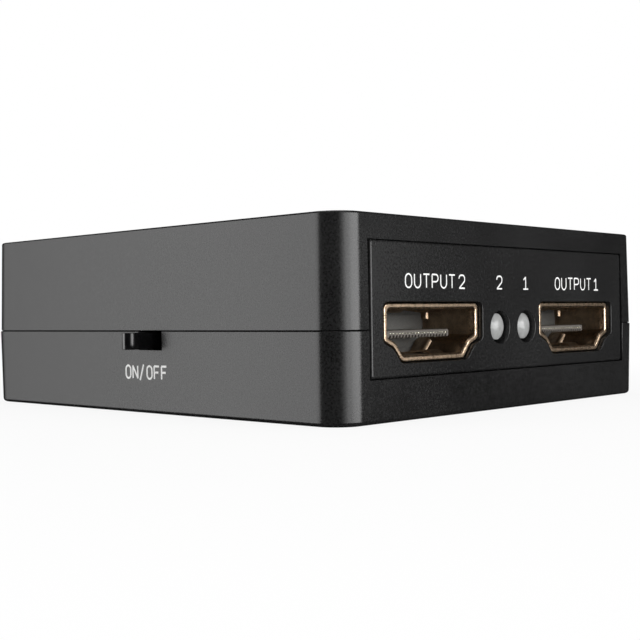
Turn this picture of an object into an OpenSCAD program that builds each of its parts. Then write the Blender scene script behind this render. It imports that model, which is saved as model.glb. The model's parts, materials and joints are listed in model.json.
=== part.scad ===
// Small video splitter box. Two output sockets with lamps face -Y, the input socket and the power
// inlet face +Y, and a slide switch sticks out of the left side, -X. The underside lies at z = 0.

/* [Case] */
// Width of the case along X
case_w = 56.5; // [54:0.5:64]
// Depth of the case along Y
case_l = 60; // [58:1:72]
// Height of the case
case_h = 20; // [19:0.5:24]
// Radius of the upright corners
corner_r = 3.1; // [2:0.1:3.3]
// Thickness of the walls, floor and roof
wall = 2; // [1.8:0.1:2.2]
// Height of the seam between the two shells
seam_z = 8.92; // [8.6:0.02:9.4]
// Open gap along the seam
seam_gap = 0.14; // [0.1:0.02:0.24]
// How far the upper shell stands back from the lower one at the seam
seam_step = 0.08; // [0:0.02:0.2]
// How far the upper walls lean in towards the roof
upper_lean = 0.15; // [0:0.05:0.4]
// How far the lower walls lean in towards the floor
lower_lean = 0.15; // [0:0.05:0.4]
// Rounding of the top and bottom edges
edge_r = 0.3; // [0.2:0.1:0.8]
// Height of the alignment lip on the lower shell
lip_h = 1; // [0.6:0.1:1.6]
// Thickness of the alignment lip
lip_t = 0.8; // [0.6:0.1:1]
// Clear length that the lip leaves at each end of a side wall
lip_end = 3.7; // [3.6:0.1:12]

/* [Panels] */
// Width of the case face left beside each panel
frame_side = 4.2; // [3.8:0.1:5]
// Height of the lower edge of the panel openings
sill_z = 4.2; // [3.6:0.1:4.6]
// Height of the case face left above the panels
head_drop = 2.5; // [2.2:0.1:3.5]
// How far the panel faces lie behind the case face
panel_recess = 0.1; // [0.05:0.05:0.5]
// Thickness of the case lip in front of a panel's flange
panel_lip = 1.2; // [1:0.1:1.4]
// Thickness of the panel flange
flange_t = 1; // [0.8:0.1:1.2]
// How far the flange reaches behind the case lip
flange_over = 1; // [0.6:0.1:1.2]
// Thickness of the ribs that hold a panel from behind
rib_t = 1.2; // [0.8:0.1:1.6]
// How far those ribs reach over the flange
rib_grip = 0.9; // [0.5:0.1:1.4]

/* [Sockets] */
// Distance between the two output sockets
port_pitch = 27.2; // [25:0.2:29]
// Place of the input socket along X
input_x = 9; // [4:0.5:13]
// How far the socket mouths lie behind the case face
port_recess = 0.6; // [0.4:0.1:1]
// Outer width of a socket shell
shell_w = 15.2; // [14.6:0.1:15.6]
// Outer height of a socket shell
shell_h = 5.55; // [5.3:0.05:5.9]
// Length of a socket shell
shell_l = 11.4; // [10.6:0.1:12.4]
// Sheet thickness of a socket shell
shell_t = 0.45; // [0.3:0.05:0.55]
// Width of the narrow lower side of a socket shell
shell_low_w = 9.96; // [9:0.1:11]
// Width of a socket shell at its inner knee
knee_w = 12.4; // [11.6:0.1:13.4]
// Height of the inner knee
knee_low = 1.41; // [1.1:0.05:1.6]
// Height of the outer knee
knee_high = 2.02; // [1.8:0.05:2.4]
// Corner rounding of a socket shell
shell_round = 0.6; // [0.5:0.05:0.7]
// Depth of a socket from its mouth to its back wall
mouth_depth = 6.7; // [6.6:0.1:8.4]
// Width of the tongue in a socket
tongue_w = 10; // [9.8:0.1:11.6]
// Thickness of the tongue
tongue_t = 0.8; // [0.6:0.05:1]
// Height of the tongue's middle above the board
tongue_rise = 2.58; // [2.4:0.02:2.8]
// How far the tongue's tip lies behind the mouth
tongue_back = 1.9; // [1.4:0.1:2.4]
// Slope at the tongue's tip
tongue_slope = 0.25; // [0.1:0.05:0.28]
// Number of contacts in a socket
contact_count = 19; // [9:2:21]
// Distance between neighbouring contacts
contact_pitch = 0.5; // [0.46:0.01:0.52]
// Width of a contact
contact_w = 0.3; // [0.2:0.02:0.34]
// Thickness of a contact
contact_t = 0.12; // [0.08:0.01:0.16]
// Length of a contact's foot on the board
contact_foot = 1; // [0.6:0.1:1.2]
// Width of a shell leg
leg_w = 1.2; // [0.8:0.1:1.6]
// Distance of the front legs behind the mouth
leg_front = 4.8; // [4.4:0.1:5.4]
// Distance of the rear legs behind the mouth
leg_rear = 8.8; // [8:0.1:9.2]
// Width of a spring finger in the shell
finger_w = 2.2; // [1.4:0.1:2.8]
// Distance of a pair of spring fingers from each other
finger_pitch = 6.4; // [4:0.2:7]
// Length of a spring finger
finger_l = 4.6; // [3:0.1:5]
// Distance of a spring finger's bend from its front end
finger_bend = 1.5; // [1:0.1:2.5]
// How far a spring finger bulges in
finger_dip = 0.4; // [0.2:0.05:0.6]

/* [Lamps] */
// Distance between the two lamps
lamp_pitch = 5.1; // [4.6:0.1:6]
// Diameter of a lamp lens
lamp_d = 3; // [2.6:0.1:3.2]
// Height of the lamps above the board
lamp_rise = 3; // [2.6:0.1:3.6]
// How far a lamp's tip lies behind the case face
lamp_back = 0.5; // [0.4:0.05:1]
// Length of a lamp from tip to base
lamp_l = 4.6; // [4:0.1:5.4]
// Height of the dome on a lamp lens
dome_h = 0.45; // [0.2:0.05:0.8]
// Diameter of the collar at a lamp's base
collar_d = 3.7; // [3.4:0.1:4]
// Thickness of that collar
collar_t = 1; // [0.6:0.1:1.2]
// Distance between the two leads of a lamp
lead_pitch = 2.54; // [2:0.02:2.6]
// Thickness of a lamp lead
lead_t = 0.5; // [0.4:0.05:0.6]

/* [Switch] */
// Place of the switch along Y
switch_y = -2.41; // [-6:0.01:4]
// Travel of the lever
lever_travel = 2; // [1.6:0.1:2.4]
// Width of the lever along the case
lever_w = 1.36; // [1:0.02:1.8]
// Height of the lever
lever_h = 1.8; // [1.4:0.05:1.9]
// How far the lever sticks out of the case
lever_out = 2.8; // [1:0.1:3]
// Height of the lever's middle above the board
lever_rise = 2.06; // [2:0.02:2.2]
// Rounding of the lever's tip as a share of its width
lever_nose = 0.48; // [0.1:0.02:0.48]
// Length of the switch frame
switch_l = 8.6; // [8:0.1:9.4]
// Depth of the switch frame
switch_d = 4.3; // [3.8:0.1:5]
// Height of the switch frame
switch_h = 4.2; // [3.8:0.1:4.8]
// Sheet thickness of the switch frame
switch_sheet = 0.3; // [0.2:0.05:0.4]
// Height of the switch base
base_h = 0.9; // [0.7:0.05:0.92]
// Length of the slider block
slider_l = 3.4; // [3:0.1:4]
// Thickness of the fixed contact pads
pad_t = 0.08; // [0.06:0.01:0.1]
// Length of a fixed contact pad
pad_l = 1.2; // [0.8:0.1:1.4]
// Width of a fixed contact pad
pad_w = 1.4; // [1:0.1:2]
// Thickness of the moving clip
clip_t = 0.12; // [0.08:0.01:0.14]
// Thickness of the switch pins
pin_t = 0.5; // [0.4:0.05:0.6]

/* [Power inlet] */
// Place of the power inlet along X
inlet_x = -13; // [-16:0.5:-9]
// How far the inlet's nose lies behind the case face
inlet_recess = 0.4; // [0.3:0.1:1]
// Diameter of the inlet's bore
inlet_bore_d = 3.7; // [3.5:0.05:3.9]
// Diameter of the centre pin
inlet_pin_d = 1.3; // [1.1:0.05:1.5]
// Diameter of the pin's root in the housing
inlet_root_d = 1.8; // [1.6:0.1:2]
// Diameter of the inlet's nose
inlet_nose_d = 5.2; // [4.8:0.1:5.6]
// Length of the nose
inlet_nose_l = 3.2; // [3:0.1:3.6]
// Width of the inlet housing
inlet_w = 6.4; // [5.8:0.1:7]
// Height of the inlet housing
inlet_h = 5.9; // [5.8:0.1:6.6]
// Length of the inlet housing
inlet_l = 10; // [9.6:0.1:11]
// Depth of the inlet's bore
inlet_depth = 8; // [7.4:0.1:8.4]
// How far the pin's tip lies behind the nose
inlet_pin_back = 1.4; // [1:0.1:2]
// Height of the inlet's axis above the board
inlet_rise = 3; // [2.9:0.05:3.2]
// Width of the inlet's terminals
tab_w = 1.4; // [1:0.1:1.8]
// Thickness of the inlet's terminals
tab_t = 0.3; // [0.2:0.05:0.4]

/* [Board] */
// Thickness of the circuit board
board_t = 1.6; // [1.2:0.1:1.8]
// Height of the posts that carry the board
post_h = 2.2; // [2.1:0.1:2.4]
// Diameter of the two posts between the sockets that the board rests on
rest_d = 3; // [2:0.2:4]
// Distance of those posts from the case faces
rest_in = 10; // [8:0.5:12]
// How far pins and legs reach below the board
tail = 1; // [0.6:0.1:1.4]
// Side of the square splitter chip
chip_w = 10; // [8:0.5:11]
// Height of the splitter chip
chip_h = 1.4; // [1:0.1:1.8]
// Leads along one side of the splitter chip
chip_leads_side = 12; // [8:1:14]
// Distance between leads of the splitter chip
chip_pitch = 0.65; // [0.5:0.05:0.7]
// Width of a chip lead
chip_lead_w = 0.3; // [0.2:0.02:0.36]
// How far a chip lead reaches out of its body
chip_lead_l = 1; // [0.8:0.1:1.2]
// Length of a memory chip
memory_l = 4.9; // [4.4:0.1:5.2]
// Width of a memory chip
memory_w = 3.9; // [3.4:0.1:4.2]
// Height of a memory chip
memory_h = 1.5; // [1.2:0.1:1.8]
// Distance between leads of a memory chip
memory_pitch = 1.27; // [1:0.01:1.3]
// Diameter of a bulk capacitor
bulk_d = 5; // [4:0.2:5.4]
// Height of a bulk capacitor
bulk_h = 5.4; // [4.4:0.2:6.4]
// Width of the power inductor
coil_w = 4; // [3.4:0.1:4.6]
// Height of the power inductor
coil_h = 2; // [1.6:0.1:2.6]

/* [Screws] */
// Diameter of the screw thread
thread_d = 2.2; // [2:0.1:2.4]
// Length of the screw below its head
screw_l = 10; // [8:0.5:12]
// Diameter of the screw head
screw_head_d = 4.2; // [3.8:0.1:4.6]
// Height of the screw head
screw_head_h = 1.5; // [1.2:0.1:1.8]
// Depth of the screw head's seat from the underside
screw_sink = 2; // [1.9:0.1:2.2]
// Wall of the screw bosses and of the head seats
boss_wall = 1.2; // [0.9:0.1:1.4]

/* [Clearances] */
// Gap above and below a panel in its opening
panel_gap = 0.1; // [0.08:0.01:0.25]
// Gap beside a panel in its opening
panel_side_gap = 0.28; // [0.15:0.01:0.4]
// Gap between a panel's flange and its pocket
pocket_gap = 0.05; // [0.03:0.01:0.1]
// Gap between a socket and its cut-out in the panel
cutout_gap = 0.33; // [0.2:0.01:0.4]
// Gap round a lamp or a nose in the panel
round_gap = 0.25; // [0.15:0.05:0.3]
// Gap of pieces that are moulded or pressed together
snug = 0.02; // [0.01:0.01:0.05]
// Gap round pieces that slide
slide_gap = 0.12; // [0.06:0.02:0.16]
// Gap between the moving clip and the fixed contacts
clip_gap = 0.05; // [0.03:0.01:0.08]
// Gap above and below the lever in the case
lever_gap = 0.12; // [0.08:0.02:0.3]
// Gap at the ends of the lever's travel in the case
lever_end_gap = 0.33; // [0.2:0.01:0.5]
// Gap between the switch and the case wall
switch_gap = 0.25; // [0.15:0.05:0.4]
// Gap round the alignment lip
lip_gap = 0.1; // [0.05:0.01:0.15]
// Gap between the board and what stands round it
board_gap = 0.3; // [0.2:0.05:0.5]
// Gap of pins and legs in the board's holes
hole_gap = 0.15; // [0.1:0.01:0.25]
// Gap of the thread in the screw bosses
thread_gap = 0.03; // [0.02:0.01:0.05]
// Gap of the screw shank and head in the lower shell
shank_gap = 0.2; // [0.15:0.05:0.3]

/* [Hidden] */
$fn = 48;

black_plastic = "#2a2a2c";
panel_black = "#303032";
gold = "#cda766";
steel = "#b9bcc0";
chip_black = "#1c1c1e";
corner_steps = 10;
round_steps = 5;
edge_steps = 4;
slice_t = 0.01;
over = 1;
bite = 0.2;

front_y = -case_l / 2;
side_x = case_w / 2 - wall;
roof_z = case_h - wall;
board_z = wall + post_h;
board_top = board_z + board_t;
opening_w = case_w - 2 * frame_side;
head_z = case_h - head_drop;
flange_y = front_y + panel_lip + pocket_gap;
rib_y = flange_y + flange_t + pocket_gap;
rib_x = opening_w / 2 + flange_over - rib_grip;
board_w = 2 * (side_x - board_gap);
board_l = -2 * (rib_y + rib_t + board_gap);

boss_r = thread_d / 2 + boss_wall;
seat_r = screw_head_d / 2 + shank_gap;
post_r = seat_r + boss_wall / 2;
screw_x = side_x - post_r - board_gap;
screw_y = -(front_y + port_recess + shell_l + contact_foot + board_gap + post_r);
rest_y = -front_y - rest_in;
rest_places = [[0, -rest_y], [(input_x - shell_w / 2 + inlet_x + inlet_w / 2) / 2, rest_y]];

spring_front = inlet_nose_l + bite;
spring_back = inlet_depth - bite;
spring_low = inlet_rise - inlet_bore_d / 2 - tab_t;
spring_bow = 0.18;

switch_x = -(side_x - switch_gap);
switch_z = board_top;
lever_low = lever_rise - lever_h / 2;
block_low = base_h + pad_t + clip_gap + clip_t;
slot_l = lever_travel + lever_w + 2 * lever_end_gap;

chip_place = [4, 0];
memory_places = [[-9, -9.5], [4, -11]];
regulator_places = [[-13, 11], [-13, 4.5]];
regulator_size = [6.5, 3.5, 1.6];
memory_leads = 4;
regulator_leads = 3;
regulator_lead_w = 0.7;
regulator_pitch = 2.3;
regulator_tab_w = 3;
bulk_places = [[-5, 11.5], [20, 6]];
coil_place = [-6.6, 6.8];
coil_flange = 0.5;
coil_groove = 0.4;
crystal_place = [18.5, -4];
crystal_size = [5, 3.2, 1];
capacitor_size = [1.6, 0.8, 0.8];
capacitor_columns = [-3.6, 11.6];
capacitor_rows = 5;
capacitor_pitch = 2;
resistor_size = [1.6, 0.8, 0.45];
resistor_columns = [-8.6, 14];
resistor_rows = 3;
resistor_pitch = 3;
surge_size = [2.5, 1, 0.55];
surge_spread = 3.4;
lead_sheet = 0.15;
lead_rise = 0.7;
gull_foot = 0.55;
mark_d = 0.8;
mark_depth = 0.08;
cross_w = 0.55;
cross_l = 2.4;
cross_depth = 0.9;

// Outward unit vector of the edge from a to b, on an outline that runs counter-clockwise
function outward(a, b) = let (d = (b - a) / norm(b - a)) [d.y, -d.x];

// The points before and after one point of a closed outline
function before(points, i) = points[(i + len(points) - 1) % len(points)];
function after(points, i) = points[(i + 1) % len(points)];

// A closed outline with every edge moved outwards by the same distance
function grown(points, by) = [
    for (i = [0:len(points) - 1])
        let (n = outward(before(points, i), points[i]), m = outward(points[i], after(points, i)))
        points[i] + (n + m) * by / (1 + n * m)
];

// A closed outline with an arc of the given radius at every corner
function softened(points, radius, steps) = [
    for (i = [0:len(points) - 1])
        let (
            u = (before(points, i) - points[i]) / norm(before(points, i) - points[i]),
            v = (after(points, i) - points[i]) / norm(after(points, i) - points[i]),
            half = acos(u * v) / 2,
            centre = points[i] + (u + v) / norm(u + v) * radius / sin(half),
            start = points[i] + u * radius / tan(half) - centre,
            finish = points[i] + v * radius / tan(half) - centre,
            turn = atan2(start.x * finish.y - start.y * finish.x, start * finish)
        )
        for (k = [0:steps])
            let (a = turn * k / steps)
            centre + [start.x * cos(a) - start.y * sin(a), start.x * sin(a) + start.y * cos(a)]
];

function box_outline(w, l) = [[-w / 2, -l / 2], [w / 2, -l / 2], [w / 2, l / 2], [-w / 2, l / 2]];

function case_outline(inset) = box_outline(case_w - 2 * inset, case_l - 2 * inset);

// Mouth of a socket, wide side up, standing on the board
function socket_corners() = [
    [-shell_low_w / 2, 0], [shell_low_w / 2, 0], [knee_w / 2, knee_low], [shell_w / 2, knee_high],
    [shell_w / 2, shell_h], [-shell_w / 2, shell_h], [-shell_w / 2, knee_high], [-knee_w / 2, knee_low]
];
function socket_outline(by) = softened(grown(socket_corners(), by), shell_round + by / 2, round_steps);

// Runs an outline in X and Z back along +Y
module run_back(l) {
    translate([0, l, 0]) rotate([90, 0, 0]) linear_extrude(l) children();
}

// Runs an outline in Y and Z across X, centred
module run_across(w) {
    translate([-w / 2, 0, 0]) rotate([90, 0, 90]) linear_extrude(w) children();
}

module rod_back(d, l) {
    rotate([-90, 0, 0]) cylinder(d = d, h = l);
}

module block(w, l, h) {
    translate([-w / 2, -l / 2, 0]) cube([w, l, h]);
}

module both_ends() {
    children();
    rotate(180) children();
}

module at_screws() {
    for (x = [-screw_x, screw_x], y = [-screw_y, screw_y]) translate([x, y, 0]) children();
}

module at_output(side) {
    translate([side * port_pitch / 2, front_y + port_recess, board_top]) children();
}

module at_input() {
    translate([input_x, -front_y - port_recess, board_top]) rotate(180) children();
}

module at_sockets() {
    at_output(-1) children();
    at_output(1) children();
    at_input() children();
}

module at_lamp(side) {
    translate([side * lamp_pitch / 2, front_y + lamp_back, board_top + lamp_rise]) children();
}

module at_inlet() {
    translate([inlet_x, -front_y - inlet_recess, board_top]) rotate(180) children();
}

module at_switch() {
    translate([switch_x, switch_y, switch_z]) children();
}

module on_board(place) {
    translate([place.x, place.y, board_top]) children();
}

// Case

module case_slice(z, inset) {
    translate([0, 0, z - slice_t / 2])
        linear_extrude(slice_t)
            polygon(softened(case_outline(inset), corner_r - inset, corner_steps));
}

// Solid outer form from the seam to a rounded end, leaning in on the way
module case_form(seam_inset, lean, end_z) {
    way = sign(end_z - seam_z);
    hull() {
        case_slice(seam_z, seam_inset);
        for (k = [0:edge_steps]) {
            a = 90 * k / edge_steps;
            case_slice(end_z + way * edge_r * (sin(a) - 1), seam_inset + lean + edge_r * (1 - cos(a)));
        }
    }
}

module case_slab(low, high) {
    translate([0, 0, low]) block(case_w + 2 * over, case_l + 2 * over, high - low);
}

module case_hollow(low, high) {
    translate([0, 0, low])
        linear_extrude(high - low)
            polygon(softened(case_outline(wall), max(corner_r - wall, edge_r), corner_steps));
}

module panel_opening() {
    both_ends() {
        translate([-opening_w / 2, front_y - over, sill_z])
            cube([opening_w, wall + 2 * over, head_z - sill_z]);
        pocket_w = opening_w + 2 * (flange_over + pocket_gap);
        pocket_low = sill_z - flange_over - pocket_gap;
        pocket_high = head_z + flange_over + pocket_gap;
        translate([-pocket_w / 2, front_y + panel_lip, pocket_low])
            cube([pocket_w, flange_t + 2 * pocket_gap, pocket_high - pocket_low]);
    }
}

module panel_ribs(low, high) {
    both_ends() {
        for (side = [-1, 1]) {
            translate([side * (rib_x + side_x + bite) / 2, rib_y + rib_t / 2, low])
                block(side_x + bite - rib_x, rib_t, high - low);
        }
    }
}

module lever_window() {
    low = switch_z + lever_low - lever_gap;
    translate([-case_w / 2 - over, switch_y - slot_l / 2, low])
        cube([wall + 2 * over, slot_l, lever_h + 2 * lever_gap]);
}

// Alignment lip on the inner half of both side walls, or the groove for it
module side_lips(gap) {
    for (side = [-1, 1]) {
        translate([side * (side_x + lip_t / 2), 0, seam_z - lip_h])
            block(lip_t + 2 * gap, case_l - 2 * lip_end + 2 * gap, 2 * lip_h + gap);
    }
}

module lip_break() {
    translate([switch_x, switch_y, seam_z - seam_gap / 2])
        block(2 * (wall + switch_gap + over), switch_l + 2 * over, lip_h + over);
}

module upper_case() {
    color(black_plastic)
    difference() {
        union() {
            difference() {
                intersection() {
                    case_form(seam_step, upper_lean, case_h);
                    case_slab(seam_z + seam_gap / 2, case_h);
                }
                case_hollow(seam_z - over, roof_z);
            }
            panel_ribs(seam_z + seam_gap / 2, roof_z + bite);
            at_screws() translate([0, 0, board_top]) cylinder(r = boss_r, h = roof_z + bite - board_top);
        }
        panel_opening();
        lever_window();
        side_lips(lip_gap);
        at_screws()
            translate([0, 0, board_top - over])
                cylinder(d = thread_d + 2 * thread_gap, h = screw_sink + screw_l + 2 * over - board_top);
    }
}

module lower_case() {
    color(black_plastic)
    difference() {
        union() {
            difference() {
                intersection() {
                    case_form(0, lower_lean, 0);
                    case_slab(0, seam_z - seam_gap / 2);
                }
                case_hollow(wall, seam_z + over);
            }
            difference() {
                side_lips(0);
                lip_break();
            }
            panel_ribs(wall - bite, seam_z - seam_gap / 2);
            at_screws() translate([0, 0, wall - bite]) cylinder(r = post_r, h = post_h + bite);
            for (place = rest_places) {
                translate([place.x, place.y, wall - bite]) cylinder(d = rest_d, h = post_h + bite);
            }
        }
        panel_opening();
        lever_window();
        at_screws() {
            translate([0, 0, -over]) cylinder(r = seat_r, h = screw_sink + over);
            translate([0, 0, -over]) cylinder(d = thread_d + 2 * shank_gap, h = board_z + 2 * over);
        }
    }
}

// Panels

module panel_plate() {
    face_w = opening_w - 2 * panel_side_gap;
    face_low = sill_z + panel_gap;
    face_high = head_z - panel_gap;
    flange_w = opening_w + 2 * flange_over;
    translate([-face_w / 2, front_y + panel_recess, face_low])
        cube([face_w, flange_y + flange_t - front_y - panel_recess, face_high - face_low]);
    translate([-flange_w / 2, flange_y, sill_z - flange_over])
        cube([flange_w, flange_t, head_z - sill_z + 2 * flange_over]);
}

module socket_cutout() {
    translate([0, -port_recess - over, 0])
        run_back(flange_y + flange_t - front_y + 2 * over) polygon(socket_outline(cutout_gap));
}

module output_panel() {
    color(panel_black)
    difference() {
        panel_plate();
        for (side = [-1, 1]) {
            at_output(side) socket_cutout();
            at_lamp(side)
                translate([0, -lamp_back - over, 0]) rod_back(lamp_d + 2 * round_gap, wall + 3 * over);
        }
    }
}

module input_panel() {
    color(panel_black)
    difference() {
        rotate(180) panel_plate();
        at_input() socket_cutout();
        at_inlet()
            translate([0, -inlet_recess - over, inlet_rise])
                rod_back(inlet_nose_d + 2 * round_gap, wall + 3 * over);
    }
}

// Screws, with a cross recess in each head

module case_screw() {
    difference() {
        union() {
            translate([0, 0, screw_sink]) cylinder(d = thread_d, h = screw_l);
            translate([0, 0, screw_sink - screw_head_h]) cylinder(d = screw_head_d, h = screw_head_h);
        }
        for (turn = [0, 90]) {
            rotate(turn)
                translate([0, 0, screw_sink - screw_head_h - over])
                    block(cross_l, cross_w, cross_depth + over);
        }
    }
}

module case_screws() {
    color(steel) at_screws() case_screw();
}

// Circuit board

module circuit_board() {
    color("#1f6b3a")
    difference() {
        translate([0, 0, board_z]) block(board_w, board_l, board_t);
        translate([0, 0, board_z - over]) {
            at_screws() cylinder(d = thread_d + 2 * shank_gap, h = board_t + 2 * over);
        }
        at_sockets() socket_legs(hole_gap);
        for (side = [-1, 1]) at_lamp(side) lamp_lead_holes();
        at_inlet() inlet_tab_holes();
        at_switch() switch_pin_holes();
    }
}

// Sockets, each with its mouth at y = 0 and its underside at z = 0

module socket_legs(gap) {
    for (side = [-1, 1], y = [leg_front, leg_rear]) {
        translate([side * (shell_w - shell_t) / 2, y + leg_w / 2, -board_t - tail - gap])
            block(shell_t + 2 * gap, leg_w + 2 * gap, board_t + tail + knee_high + shell_round);
    }
}

// Bent tab that grows out of the middle of the sheet and bulges into the mouth
module shell_finger(sheet_z, way) {
    run_across(finger_w)
        polygon([
            [tongue_back, sheet_z], [tongue_back + finger_l, sheet_z],
            [tongue_back + finger_bend, sheet_z + way * (shell_t / 2 + finger_dip)]
        ]);
}

module socket_shell() {
    color(gold) {
        difference() {
            run_back(shell_l) polygon(socket_outline(0));
            translate([0, -over, 0]) run_back(shell_l + 2 * over) polygon(socket_outline(-shell_t));
        }
        socket_legs(0);
        for (side = [-1, 1]) {
            translate([side * finger_pitch / 2, 0, 0]) {
                shell_finger(shell_h - shell_t / 2, -1);
                shell_finger(shell_t / 2, 1);
            }
        }
    }
}

// One row holds every second contact, flush with the tongue's upper or lower face
module contact_strips(gap) {
    for (k = [0:contact_count - 1]) {
        x = (k - (contact_count - 1) / 2) * contact_pitch;
        low = tongue_rise + (k % 2 == 0 ? tongue_t / 2 - contact_t : -tongue_t / 2);
        start = tongue_back + tongue_slope;
        translate([x, (start + shell_l) / 2, low - gap])
            block(contact_w + 2 * gap, shell_l - start + 2 * gap, contact_t + 2 * gap);
    }
}

module contact_tails() {
    for (k = [0:contact_count - 1]) {
        x = (k - (contact_count - 1) / 2) * contact_pitch;
        high = tongue_rise + (k % 2 == 0 ? tongue_t / 2 : contact_t - tongue_t / 2);
        translate([x, shell_l + contact_t / 2, 0]) block(contact_w, contact_t, high);
        translate([x, shell_l + contact_foot / 2, 0]) block(contact_w, contact_foot, contact_t);
    }
}

module socket_insulator() {
    low = tongue_rise - tongue_t / 2;
    high = tongue_rise + tongue_t / 2;
    color("#26262a")
    difference() {
        union() {
            translate([0, mouth_depth, 0])
                run_back(shell_l - mouth_depth) polygon(socket_outline(-shell_t - snug));
            run_across(tongue_w)
                polygon([
                    [tongue_back, low + tongue_slope], [tongue_back + tongue_slope, low],
                    [mouth_depth + bite, low], [mouth_depth + bite, high],
                    [tongue_back + tongue_slope, high], [tongue_back, high - tongue_slope]
                ]);
        }
        contact_strips(snug);
    }
}

module socket_contacts() {
    color(gold) {
        contact_strips(0);
        contact_tails();
    }
}

module output_1_shell() { at_output(1) socket_shell(); }
module output_1_insulator() { at_output(1) socket_insulator(); }
module output_1_contacts() { at_output(1) socket_contacts(); }
module output_2_shell() { at_output(-1) socket_shell(); }
module output_2_insulator() { at_output(-1) socket_insulator(); }
module output_2_contacts() { at_output(-1) socket_contacts(); }
module input_shell() { at_input() socket_shell(); }
module input_insulator() { at_input() socket_insulator(); }
module input_contacts() { at_input() socket_contacts(); }

// Lamps, each with its tip at y = 0 and its axis at z = 0

module lamp_lens() {
    ball_r = (lamp_d * lamp_d / 4 + dome_h * dome_h) / (2 * dome_h);
    color("#d9dad6") {
        intersection() {
            rod_back(lamp_d, lamp_l);
            union() {
                translate([0, ball_r, 0]) sphere(r = ball_r);
                translate([0, dome_h, 0]) rod_back(lamp_d + over, lamp_l);
            }
        }
        translate([0, lamp_l - collar_t, 0]) rod_back(collar_d, collar_t);
    }
}

module lamp_1() { at_lamp(1) lamp_lens(); }
module lamp_2() { at_lamp(-1) lamp_lens(); }

module lamp_lead_holes() {
    for (side = [-1, 1]) {
        translate([side * lead_pitch / 2, lamp_l + 1.5 * lead_t, -lamp_rise - board_t - over])
            block(lead_t + 2 * hole_gap, lead_t + 2 * hole_gap, board_t + 2 * over);
    }
}

module lamp_leads() {
    color(steel)
    for (lamp = [-1, 1], side = [-1, 1]) {
        at_lamp(lamp) translate([side * lead_pitch / 2, 0, 0]) {
            translate([0, lamp_l + lead_t, -lead_t / 2]) block(lead_t, 2 * lead_t, lead_t);
            drop = lamp_rise + board_t + tail;
            translate([0, lamp_l + 1.5 * lead_t, -drop]) block(lead_t, lead_t, drop);
        }
    }
}

// Power inlet, with its nose at y = 0 and its underside at z = 0

module inlet_housing() {
    color(chip_black)
    at_inlet()
    difference() {
        union() {
            translate([0, 0, inlet_rise]) rod_back(inlet_nose_d, inlet_nose_l + bite);
            translate([0, (inlet_nose_l + inlet_l) / 2, 0]) block(inlet_w, inlet_l - inlet_nose_l, inlet_h);
        }
        translate([0, -over, inlet_rise]) rod_back(inlet_bore_d, inlet_depth + over);
        translate([0, 0, inlet_rise]) rod_back(inlet_root_d + 2 * snug, inlet_l + over);
        translate([0, (spring_front + spring_back) / 2, -over])
            block(tab_w + 2 * snug, spring_back - spring_front + 2 * snug, inlet_rise + over);
    }
}

module inlet_pin() {
    drop = board_t + tail;
    color(steel)
    at_inlet() {
        translate([0, inlet_pin_back, inlet_rise]) rod_back(inlet_pin_d, inlet_depth - inlet_pin_back + bite);
        translate([0, inlet_depth, inlet_rise]) rod_back(inlet_root_d, inlet_l - inlet_depth + tab_t);
        translate([0, inlet_l + tab_t / 2 + snug, -drop]) block(tab_w, tab_t, drop + inlet_rise + tab_w / 2);
    }
}

module inlet_spring() {
    drop = board_t + tail;
    middle = (spring_front + spring_back) / 2;
    color(steel)
    at_inlet() {
        run_across(tab_w)
            polygon([
                [spring_back, spring_low], [spring_back, spring_low + tab_t],
                [middle, spring_low + tab_t + spring_bow], [spring_front, spring_low + tab_t],
                [spring_front, spring_low], [middle, spring_low + spring_bow]
            ]);
        translate([0, spring_back - tab_t / 2, -drop]) block(tab_w, tab_t, drop + spring_low + tab_t / 2);
    }
}

module inlet_tab_holes() {
    for (y = [spring_back - tab_t / 2, inlet_l + tab_t / 2 + snug]) {
        translate([0, y, -board_t - over])
            block(tab_w + 2 * hole_gap, tab_t + 2 * hole_gap, board_t + 2 * over);
    }
}

// Slide switch, with its front face at x = 0, its middle at y = 0 and its underside at z = 0

module switch_feet(gap) {
    for (side = [-1, 1]) {
        translate([switch_d / 2, side * (switch_l - switch_sheet) / 2, -board_t - tail - gap])
            block(leg_w + 2 * gap, switch_sheet + 2 * gap, board_t + tail + base_h);
    }
}

module switch_frame() {
    inner_l = switch_l - 2 * switch_sheet;
    color(steel)
    at_switch() {
        difference() {
            translate([switch_d / 2, 0, 0]) block(switch_d, switch_l, switch_h);
            translate([switch_d / 2, 0, -over])
                block(switch_d - 2 * switch_sheet, inner_l, switch_h - switch_sheet + over);
            window_d = 2 * (switch_sheet + slide_gap);
            translate([0, 0, lever_low - slide_gap])
                block(window_d, lever_travel + lever_w + 2 * slide_gap, lever_h + 2 * slide_gap);
        }
        switch_feet(0);
    }
}

module switch_pins(gap) {
    for (k = [-1:1]) {
        translate([switch_d / 2, k * lever_travel, -board_t - tail - gap])
            block(pin_t + 2 * gap, pin_t + 2 * gap, board_t + tail + base_h + gap);
    }
}

module switch_base() {
    color(chip_black)
    at_switch()
    difference() {
        translate([switch_d / 2, 0, 0])
            block(switch_d - 2 * (switch_sheet + snug), switch_l - 2 * (switch_sheet + snug), base_h);
        switch_pins(snug);
    }
}

module switch_contacts() {
    color(gold)
    at_switch() {
        switch_pins(0);
        for (k = [-1:1]) {
            translate([switch_d / 2, k * lever_travel, base_h]) block(pad_w, pad_l, pad_t);
        }
    }
}

module switch_pin_holes() {
    switch_pins(hole_gap);
    switch_feet(hole_gap);
}

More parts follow.
